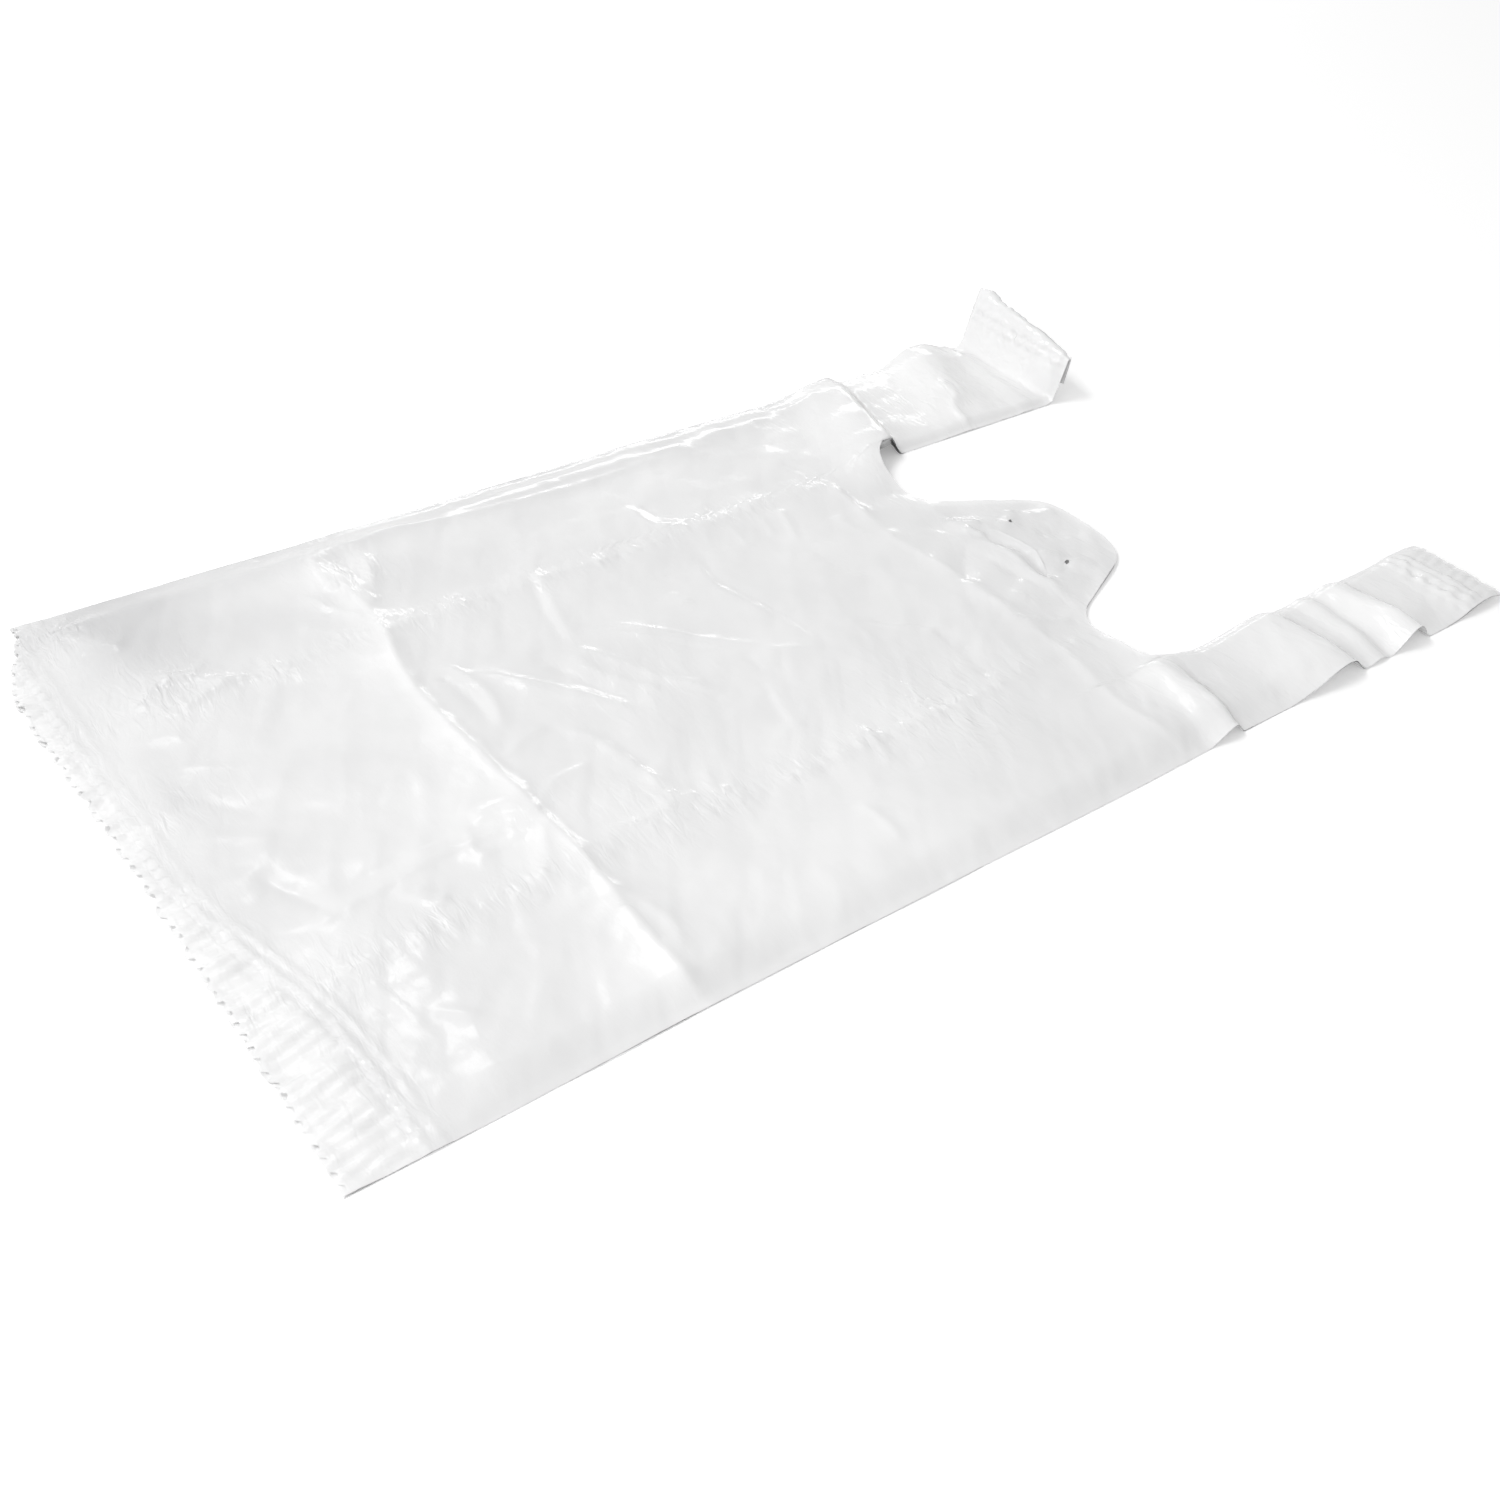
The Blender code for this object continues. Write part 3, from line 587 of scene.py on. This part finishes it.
def openSlit(x, y, z, keep):
    # Bends the rows to the tear-off slit and parts the film along one of them
    across = (x - cut["shift"]) / (cut["slitLength"] / 2)
    bow = cut["slitBow"] * (1 - np.clip(across, -1, 1) ** 2) - cut["slitBow"] / 2
    arc = pinHeight - cut["slitBelow"] + bow
    middle = np.abs(x[0] - cut["shift"]).argmin()
    row = np.abs(y[:, middle] - arc[:, middle]).argmin()
    wanted = arc[row] - y[row]
    near = np.exp(-((y - y[row]) / cut["slitDraw"]) ** 2) * smooth((1.5 - np.abs(across)) / 0.5)
    y += wanted[None, :] * near
    inside = np.abs(across[row]) < 1
    x, y, z = (np.insert(part, row + 1, part[row], axis=0) for part in (x, y, z))
    keep = np.insert(keep, row, False, axis=0)
    parting = np.where(inside, smooth((1 - np.abs(across[row])) / 0.3), 0)
    y[row + 1] += cut["slitGap"] * parting
    for step, lift in enumerate(cut["slitLift"]):
        z[row - step] += lift * parting
    z[row + 1] -= cut["slitDrop"] * parting
    tied = np.zeros(x.shape, bool)
    tied[row + 1] = ~inside
    return x, y, z, keep, tied


print("carrier bag: film functions ready")


# The four films: the front with its side folds, the back with its, and a tucked layer pair at each side
def flatNet(step):
    x = columnPlaces(step)
    y = netRows(x)
    x = np.broadcast_to(x, y.shape) * (half - pile["foldRadius"]) / half
    keep = np.ones((y.shape[0] - 1, y.shape[1] - 1), bool)
    centre = (x[:-1, :-1] + x[1:, 1:]) / 2
    onHandle = (centre > nearIn * 0.998) | (centre < farIn * 0.998)
    keep[net["bodyRows"]:, :] = onHandle[net["bodyRows"]:, :]
    return x, y, keep


def frontFilm():
    x, y, keep = flatNet(net["step"])
    z = pileTop(x, y)
    x, y, z, keep = openPins(x.copy(), y, z, keep)
    x, y, z, keep = withRolls(x, y, z, keep, foldRadius(x, y), -1)
    return openSlit(x, y, z, keep)


def backFilm():
    x, y, keep = flatNet(net["hiddenStep"])
    return withRolls(x, y, pileBottom(x, y), keep, foldRadius(x, y), 1)


def withRolls(x, y, z, keep, radius, way):
    # Adds the half turn of film round each side fold
    turns = np.arange(1, net["rollSteps"] + 1) * np.pi / net["rollSteps"]
    sides = []
    for sign, edge in ((-1, 0), (1, -1)):
        r = radius[:, edge][:, None]
        rollX = x[:, edge][:, None] + sign * r * np.sin(turns)
        rollZ = z[:, edge][:, None] + way * r * (1 - np.cos(turns))
        rollY = np.repeat(y[:, edge][:, None], len(turns), 1)
        if sign < 0:
            rollX, rollZ = rollX[:, ::-1], rollZ[:, ::-1]
        sides.append((rollX, rollY, rollZ))
    (farX, farY, farZ), (nearX, nearY, nearZ) = sides
    band = np.ones((keep.shape[0], net["rollSteps"]), bool)
    return (np.hstack((farX, x, nearX)), np.hstack((farY, y, nearY)), np.hstack((farZ, z, nearZ)),
            np.hstack((band, keep, band)))


def tuckedFilm(sign):
    # Down one tucked layer to the inner fold and back out along the other
    inner = nearIn if sign > 0 else -farIn
    outer = half - pile["foldRadius"]
    handleCount = round((outer - inner) / net["hiddenStep"])
    foldCount = max(2, round((inner - tuckIn) / net["hiddenStep"]))
    lane = np.concatenate((np.linspace(outer, inner, handleCount + 1),
                           np.linspace(inner, tuckIn + pile["foldRadius"], foldCount + 1)[1:]))
    turns = np.arange(1, net["rollSteps"]) * np.pi / net["rollSteps"]
    across = np.concatenate((lane, np.full(len(turns), lane[-1]), lane[::-1]))
    y = netRows(sign * across)
    flat = np.broadcast_to(sign * across, y.shape)
    upper, lower = gussetHeights(flat, y)
    level = np.concatenate((np.zeros(len(lane)), (1 - np.cos(turns)) / 2, np.ones(len(lane))))
    z = upper * (1 - level) + lower * level
    bulge = np.concatenate((np.zeros(len(lane)), np.sin(turns), np.zeros(len(lane))))
    x = flat - sign * bulge * (upper - lower) / 2
    keep = np.ones((y.shape[0] - 1, y.shape[1] - 1), bool)
    pairs = np.minimum(across[:-1], across[1:])
    keep[net["bodyRows"]:, :] = (pairs > inner - 0.01)[None, :]
    return x, y, z, keep


# Small wrinkles that repeat along the tucked folds, the welds and all over the film
crinkles = {
    "Fold height": 0.55 * mm,
    "Fold spacing": 3.6 * mm,
    "Fold reach": 7.0 * mm,
    "Fold place": 71.5 * mm,
    "Film height": 0.55 * mm,
    "Film size": 26 * mm,
    "Drape height": 0.30 * mm,
    "Drape size": 13 * mm,
    "Weld height": 0.30 * mm,
    "Weld spacing": 6.0 * mm,
    "Weld reach": 16 * mm,
    "Seed": 3.0,
}
# How these wrinkles are drawn out, and where the ones on the tucked folds come in patches
wrinkle = {
    "foldStretch": 0.22,
    "filmStretch": 0.8,
    "weldStretch": 0.2,
    "patchScale": (12.0, 22.0),
    "patchRange": (-0.12, 0.22, 0.15, 1.5),
    "drapeSlant": (0.855, 0.52),  # direction of the soft slanting folds
    "drapeStretch": 0.28,
}


class Tree:
    # Shorthand for building a node tree
    def __init__(self, tree):
        self.tree = tree

    def node(self, kind, *values, **settings):
        made = self.tree.nodes.new(kind)
        for key, value in settings.items():
            setattr(made, key, value)
        for socket, value in zip(made.inputs, values):
            self.feed(socket, value)
        return made

    def feed(self, socket, value):
        if value is None:
            return
        if isinstance(value, bpy.types.NodeSocket):
            self.tree.links.new(value, socket)
        else:
            socket.default_value = value

    def math(self, operation, *values):
        return self.node("ShaderNodeMath", *values, operation=operation).outputs[0]

    def fill(self, made, values):
        for name, value in values.items():
            self.feed(made.inputs[name], value)

    def filled(self, kind, first, **values):
        made = self.node(kind, first)
        self.fill(made, values)
        return made.outputs[0]

    def noise(self, place, **values):
        return self.filled("ShaderNodeTexNoise", place, **values)

    def bump(self, strength, distance, height, normal=None):
        return self.filled("ShaderNodeBump", None, Strength=strength, Distance=distance, Height=height,
                           Normal=normal)

    def seen(self):
        # 1 where the camera looks straight, by a mirror image or through the film
        rays = self.node("ShaderNodeLightPath").outputs
        mirrored = self.math("MAXIMUM", rays["Is Glossy Ray"], rays["Is Transmission Ray"])
        return self.math("MAXIMUM", rays["Is Camera Ray"], mirrored)


def crinkleTree(material):
    group = bpy.data.node_groups.new("filmCrinkles", "GeometryNodeTree")
    face = group.interface
    face.new_socket("Geometry", in_out="INPUT", socket_type="NodeSocketGeometry")
    for name, value in crinkles.items():
        face.new_socket(name, in_out="INPUT", socket_type="NodeSocketFloat").default_value = value
    face.new_socket("Geometry", in_out="OUTPUT", socket_type="NodeSocketGeometry")
    t = Tree(group)
    given = t.node("NodeGroupInput").outputs
    place = t.node("GeometryNodeInputPosition").outputs[0]
    x, y, _ = t.node("ShaderNodeSeparateXYZ", place).outputs
    wide = t.math("ABSOLUTE", x)

    def closeness(distance, reach):
        squared = t.math("POWER", t.math("DIVIDE", distance, reach), 2.0)
        return t.math("EXPONENT", t.math("MULTIPLY", squared, -1.0))

    def wrinkleNoise(scaleX, scaleY, shift, roughness=0.5, detail=1.0):
        spot = t.node("ShaderNodeCombineXYZ", t.math("MULTIPLY", x, scaleX), t.math("MULTIPLY", y, scaleY),
                      t.math("ADD", given["Seed"], shift)).outputs[0]
        noise = t.noise(spot, Scale=1.0, Detail=detail, Roughness=roughness)
        return t.math("SUBTRACT", noise, 0.5)

    perFold = t.math("DIVIDE", 1.0, given["Fold spacing"])
    perFilm = t.math("DIVIDE", 1.0, given["Film size"])
    perWeld = t.math("DIVIDE", 1.0, given["Weld spacing"])
    foldMask = closeness(t.math("SUBTRACT", wide, given["Fold place"]), given["Fold reach"])
    patch = wrinkleNoise(*wrinkle["patchScale"], 5.0)
    patch = t.node("ShaderNodeMapRange", patch, *wrinkle["patchRange"]).outputs[0]
    foldNoise = wrinkleNoise(t.math("MULTIPLY", perFold, wrinkle["foldStretch"]), perFold, 0.0)
    foldPart = t.math("MULTIPLY", foldNoise, patch)
    foldPart = t.math("MULTIPLY", foldPart, t.math("MULTIPLY", foldMask, given["Fold height"]))
    filmNoise = wrinkleNoise(perFilm, t.math("MULTIPLY", perFilm, wrinkle["filmStretch"]), 9.0, 0.45, 3.0)
    filmPart = t.math("MULTIPLY", t.math("MULTIPLY", filmNoise, given["Film height"]), 4.0)
    weldMask = closeness(y, given["Weld reach"])
    weldNoise = wrinkleNoise(perWeld, t.math("MULTIPLY", perWeld, wrinkle["weldStretch"]), 2.0)
    weldPart = t.math("MULTIPLY", weldNoise, weldMask)
    weldPart = t.math("MULTIPLY", weldPart, given["Weld height"])
    weldPart = t.math("MULTIPLY", weldPart, 2.0)
    # Soft folds that run slantwise over the panel
    slantX, slantY = wrinkle["drapeSlant"]
    alongFold = t.math("SUBTRACT", t.math("MULTIPLY", x, slantX), t.math("MULTIPLY", y, slantY))
    acrossFold = t.math("ADD", t.math("MULTIPLY", x, slantY), t.math("MULTIPLY", y, slantX))
    alongShare = t.math("DIVIDE", t.math("MULTIPLY", alongFold, wrinkle["drapeStretch"]), given["Drape size"])
    acrossShare = t.math("DIVIDE", acrossFold, given["Drape size"])
    drapeSpot = t.node("ShaderNodeCombineXYZ", alongShare, acrossShare,
                       t.math("ADD", given["Seed"], 21.0)).outputs[0]
    drape = t.noise(drapeSpot, Scale=1.0, Detail=2.0, Roughness=0.5, Distortion=0.5)
    drapePart = t.math("MULTIPLY", t.math("SUBTRACT", drape, 0.5), given["Drape height"])
    drapePart = t.math("MULTIPLY", drapePart, t.math("MULTIPLY", t.math("SUBTRACT", 1.0, weldMask), 4.0))
    lift = t.math("ADD", t.math("ADD", t.math("MULTIPLY", foldPart, 2.0), filmPart),
                  t.math("ADD", weldPart, drapePart))
    offset = t.node("ShaderNodeCombineXYZ", 0.0, 0.0, lift).outputs[0]
    moved = t.filled("GeometryNodeSetPosition", given["Geometry"], Offset=offset)
    real = t.node("GeometryNodeRealizeInstances", moved).outputs[0]
    painted = t.filled("GeometryNodeSetMaterial", real, Material=material)
    t.node("NodeGroupOutput", painted)
    return group


def placed(name, data):
    thing = bpy.data.objects.new(name, data)
    bpy.context.scene.collection.objects.link(thing)
    return thing


def applied(thing, name):
    # The evaluated shape as a plain mesh on a new object
    bpy.context.view_layer.update()
    graph = bpy.context.evaluated_depsgraph_get()
    mesh = bpy.data.meshes.new_from_object(thing.evaluated_get(graph))
    bpy.data.objects.remove(thing)
    return placed(name, mesh)


def filmPiece(name, parts, group, share, seed, least):
    x, y, z, *rest = parts
    x = sideShift(x, y, seed)
    sheet = placed(name, sheetMesh(name, x * mm, y * mm, z * mm, *rest))
    wrinkling = sheet.modifiers.new("crinkles", "NODES")
    wrinkling.node_group = group
    for socket in group.interface.items_tree:
        if socket.in_out == "INPUT" and socket.name in crinkles:
            value = crinkles[socket.name]
            wrinkling[socket.identifier] = value * share if "height" in socket.name else value
    sheet = applied(sheet, name)
    co = np.empty(len(sheet.data.vertices) * 3)
    sheet.data.vertices.foreach_get("co", co)
    co = co.reshape(-1, 3) / mm
    # Writes the film's tone with its painted shade and painted highlights, and where it is crinkled
    for key, rule in (("toneAndPaintedLight", toneAndPaintedLightOf), ("crinkled", crinkledOf)):
        layer = sheet.data.attributes.new(key, "FLOAT", "POINT")
        layer.data.foreach_set("value", rule(co[:, 0], co[:, 1]).astype(np.float32))
    bentY, bentZ = standUp(co[:, 0], co[:, 1], np.maximum(co[:, 2], least))
    co[:, 1], co[:, 2] = bentY - cut["length"] / 2, bentZ
    sheet.data.vertices.foreach_set("co", (co * mm).ravel())
    sheet.data.update()
    sheet.data.shade_smooth()
    return sheet


# How light the film's colour is, from 0 to 1: its plain tone with painted shade and painted highlights laid
# on it. Across, along, reach across, reach along and change of each soft area
filmToneAndPaintedLight = {
    "plain": 0.73,
    # lighter beyond the bottom weld
    "fringe": 0.30,
    # painted highlight beside the crease that runs right across
    "creased": 0.27,       # beside the crease that runs right across
    # painted shade along the far side fold
    "farEdgeShade": -0.30,
    # soft patches: a negative change is painted shade, a positive one a painted highlight
    "shadeAndHighlightAreas": (
        (-110, 44, 26, 22, -0.62), (-132, 40, 14, 16, -0.25), (-96, 84, 22, 26, -0.14),
        (-26, 27, 34, 9, -0.30), (-16, 70, 13, 12, -0.12), (10, 384, 34, 16, -0.22),
        (30, 330, 60, 22, -0.06), (-98, 150, 18, 34, -0.14), (100, 24, 20, 9, -0.20),
        (-106, 425, 30, 44, 0.34), (44, 112, 9, 10, 0.30), (60, 104, 20, 8, 0.14),
        (118, 112, 18, 12, 0.18), (30, 100, 30, 16, 0.08), (106, 352, 16, 9, 0.3),
        (112, 446, 34, 56, 0.26), (104, 196, 40, 60, 0.2), (-102, 440, 24, 34, 0.12),
        (-100, 66, 30, 30, -0.12),
    ),
}
# Where the film is finely crinkled: the tucked folds, the welds and a few knots, each with its place, reach
# and strength
crinkled = {
    "plain": 0.05,
    "fold": 0.9,
    "foldPlace": 70,
    "foldReach": 8,
    "weld": 0.28,
    "mouth": 0.3,
    "knots": (
        (-110, 128, 22, 0.7), (-78, 40, 20, 0.9), (-20, 24, 22, 0.35), (40, 122, 18, 0.3),
        (62, 150, 20, 0.6), (0, 185, 34, 0.3), (78, 30, 22, 0.3), (-105, 425, 26, 0.8),
        (10, 392, 26, 0.4), (-108, 488, 24, 1.2), (71, 272, 30, 0.8), (-128, 20, 18, 1.0),
    ),
}


def crinkledOf(x, y):
    value = np.full(x.shape, crinkled["plain"])
    patchy = 0.55 + 0.45 * undulation(x * 0.3, y, *uneven["crinkledPatches"])
    fold = np.exp(-((np.abs(x) - crinkled["foldPlace"]) / crinkled["foldReach"]) ** 2)
    value = np.maximum(value, crinkled["fold"] * fold * patchy * smooth((cut["mouth"] - y) / 30))
    value = np.maximum(value, crinkled["weld"] * smooth((weldPlace(x) + 8 - y) / 8))
    value = np.maximum(value, crinkled["mouth"] * smooth((y - cut["mouth"] + 40) / 40))
    for across, along, reach, strength in crinkled["knots"]:
        value = np.maximum(value, strength * np.exp(-((x - across) ** 2 + (y - along) ** 2) / reach ** 2))
    return value


def toneAndPaintedLightOf(x, y):
    value = np.full(x.shape, filmToneAndPaintedLight["plain"])
    # Painted shade along the far side fold
    value += filmToneAndPaintedLight["farEdgeShade"] * smooth((-x - 112) / 18) * smooth((cut["mouth"] + 20 - y) / 40)
    # Painted highlight beside the creases that run right across
    for name, share in (("foldedEdge", 1.0), ("upperEdge", 0.35)):
        value += filmToneAndPaintedLight["creased"] * share * crease(x, y, longCreases[name][3], 1.0, 7, 2.2, fade=0)
    # Lighter beyond the bottom weld
    value += filmToneAndPaintedLight["fringe"] * smooth((weldPlace(x) - pile["lipWidth"] - y) / 3)
    # Soft patches of painted shade and painted highlight
    for across, along, reachX, reachY, change in filmToneAndPaintedLight["shadeAndHighlightAreas"]:
        value += change * np.exp(-((x - across) / reachX) ** 2 - ((y - along) / reachY) ** 2)
    return np.clip(value, 0, 1)


def newMaterial(name):
    material = bpy.data.materials.new(name)
    material.use_nodes = True
    return material, Tree(material.node_tree), material.node_tree.nodes["Principled BSDF"]


def whiteFilm():
    # Thin white film: milky, softly glossy, with faint lines along the bag and fine crumpling. Its colour
    # runs between a dark and a light end, by painted shade and painted highlights laid over its plain tone,
    # and a random haze
    film = {
        # colour under the deepest painted shade, and under the strongest painted highlight; the plain film
        # lies between
        "thin": (0.70, 0.70, 0.705, 1),
        "paintedLightEnd": (0.985, 0.985, 0.985, 1),
        "haze": 0.5,           # cloudiness, and the size of its clouds
        "hazeScale": 22.0,
        "roughness": 0.21,     # and how far it wanders down and up
        "rougher": (-0.04, 0.05),
        "alpha": 0.90,
        "gloss": 0.38,
        "glossRoughness": 0.14,
        "lineBump": 0.04,      # faint lines along the bag
        "lineScale": (900, 4, 900),
        "lineHeight": 0.2 * mm,
        "crumpleBump": 0.12,   # fine crumpling all over
        "crumpleScale": (60, 85, 60),
        "crumpleHeight": 1.5 * mm,
        "strokeHeight": 1.0 * mm,  # short strokes where the film is crinkled
        "strokeScale": (95, 260, 95),
        "strokeTurn": 14,
    }
    material, t, shader = newMaterial("whiteFilm")
    place = t.node("ShaderNodeTexCoord").outputs["Object"]
    haze = t.noise(place, Scale=film["hazeScale"], Detail=3.0)
    # The film's plain tone with painted shade and painted highlights laid on it, read from the mesh
    toneAndPaintedLight = t.node("ShaderNodeAttribute", attribute_name="toneAndPaintedLight").outputs["Fac"]
    hazeAndPaintedLight = t.math("ADD", toneAndPaintedLight, t.math("MULTIPLY", t.math("SUBTRACT", haze, 0.5), film["haze"]))
    tint = t.node("ShaderNodeMix", data_type="RGBA")
    for socket, value in (("Factor", hazeAndPaintedLight), (6, film["thin"]), (7, film["paintedLightEnd"])):
        t.feed(tint.inputs[socket], value)
    smoothest, roughest = (film["roughness"] + wander for wander in film["rougher"])
    soft = t.node("ShaderNodeMapRange", haze, 0.3, 0.7, smoothest, roughest).outputs[0]
    lines = t.filled("ShaderNodeMapping", place, Scale=film["lineScale"])
    bumped = t.bump(film["lineBump"], film["lineHeight"], t.noise(lines, Scale=1.0))
    crumple = t.filled("ShaderNodeMapping", place, Scale=film["crumpleScale"])
    crumpleNoise = t.noise(crumple, Scale=1.0, Detail=4.0, Roughness=0.55)
    bumped = t.bump(film["crumpleBump"], film["crumpleHeight"], crumpleNoise, bumped)
    strokes = t.filled("ShaderNodeMapping", place, Rotation=(0, 0, math.radians(film["strokeTurn"])),
                       Scale=film["strokeScale"])
    strokeNoise = t.noise(strokes, Scale=1.0, Detail=2.0, Distortion=0.8)
    where = t.node("ShaderNodeAttribute", attribute_name="crinkled").outputs["Fac"]
    bumped = t.bump(1.0, film["strokeHeight"], t.math("MULTIPLY", strokeNoise, where), bumped)
    t.fill(shader, {"Base Color": tint.outputs[2], "Roughness": soft, "Alpha": film["alpha"],
                    "Coat Weight": film["gloss"], "Coat Roughness": film["glossRoughness"],
                    "Normal": bumped, "Coat Normal": bumped})
    return material


def buildBag():
    material = whiteFilm()
    group = crinkleTree(material)
    # Share of the small wrinkles, seed of the side folds and lowest height of each film
    films = [filmPiece("front_film", frontFilm(), group, 1.0, 11, 0.23),
             filmPiece("back_film", backFilm(), group, 0.0, 12, 0.06),
             filmPiece("near_tucked_film", tuckedFilm(1), group, 1.0, 11, 0.18),
             filmPiece("far_tucked_film", tuckedFilm(-1), group, 1.0, 11, 0.18)]
    for film in films:
        print("film", film.name, len(film.data.polygons), "faces")
        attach(film, "root")
        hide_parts(bagNode)
    return films


# Floor, light and camera
studio = {"floorSize": 6.0, "floorColour": (0.90, 0.90, 0.90, 1), "floorGlow": 0.26, "worldLight": 0.50}
lamps = {
    "overheadLamp": {"at": (-0.60, -1.30, 1.95), "size": (0.9, 0.6), "power": 24.8},
    "leftLamp": {"at": (0.55, -2.00, 0.95), "size": (1.2, 0.6), "power": 12.5},
    "highLamp": {"at": (-1.37, 0.12, 1.97), "size": (0.45, 0.22), "power": 1.25},
    "backLamp": {"at": (-1.25, 0.80, 0.42), "size": (1.0, 0.08), "power": 1.6},
}


def plainFloor():
    mesh = bpy.data.meshes.new("floor")
    reach = studio["floorSize"] / 2
    mesh.from_pydata([(-reach, -reach, 0), (reach, -reach, 0), (reach, reach, 0), (-reach, reach, 0)], [],
                     [(0, 1, 2, 3)])
    floor = placed("floor", mesh)
    material, t, shader = newMaterial("paleFloor")
    t.fill(shader, {"Base Color": studio["floorColour"], "Roughness": 0.9, "Specular IOR Level": 0.0,
                    "Emission Color": (1, 1, 1, 1),
                    "Emission Strength": t.math("MULTIPLY", t.seen(), studio["floorGlow"])})
    mesh.materials.append(material)


def whiteWorld():
    world = bpy.data.worlds.new("whiteRoom")
    bpy.context.scene.world = world
    world.use_nodes = True
    t = Tree(world.node_tree)
    strength = t.node("ShaderNodeMapRange", t.seen(), 0.0, 1.0, studio["worldLight"], 1.0).outputs[0]
    t.fill(world.node_tree.nodes["Background"], {"Color": (1, 1, 1, 1), "Strength": strength})


def softbox(name, place, size, power):
    lamp = bpy.data.lights.new(name, "AREA")
    lamp.shape = "RECTANGLE"
    lamp.size, lamp.size_y = size
    lamp.energy = power
    thing = placed(name, lamp)
    thing.location = place
    thing.rotation_euler = (-Vector(place)).to_track_quat("-Z", "Y").to_euler()


def photoCamera():
    # Solved from the bag's outline, side folds and creases in the photograph
    solved = {"place": (0.3885, -0.3625, 0.3783), "turn": (49.540, -5.019, 52.816), "lens": 40.382,
              "sensor": 36, "plane": 2.2 * mm}
    data = bpy.data.cameras.new("camera")
    data.lens = solved["lens"]
    data.sensor_width = solved["sensor"]
    data.clip_start = 0.01
    camera = placed("camera", data)
    camera.location = Vector(solved["place"]) + Vector((0, 0, solved["plane"]))
    camera.rotation_euler = [math.radians(angle) for angle in solved["turn"]]
    bpy.context.scene.camera = camera


buildBag()
plainFloor()
whiteWorld()
for lampName, lamp in lamps.items():
    softbox(lampName, lamp["at"], lamp["size"], lamp["power"])
photoCamera()
print("floor, light and camera: done")
bpy.context.scene.view_settings.view_transform = "Standard"
print("carrier bag: done")
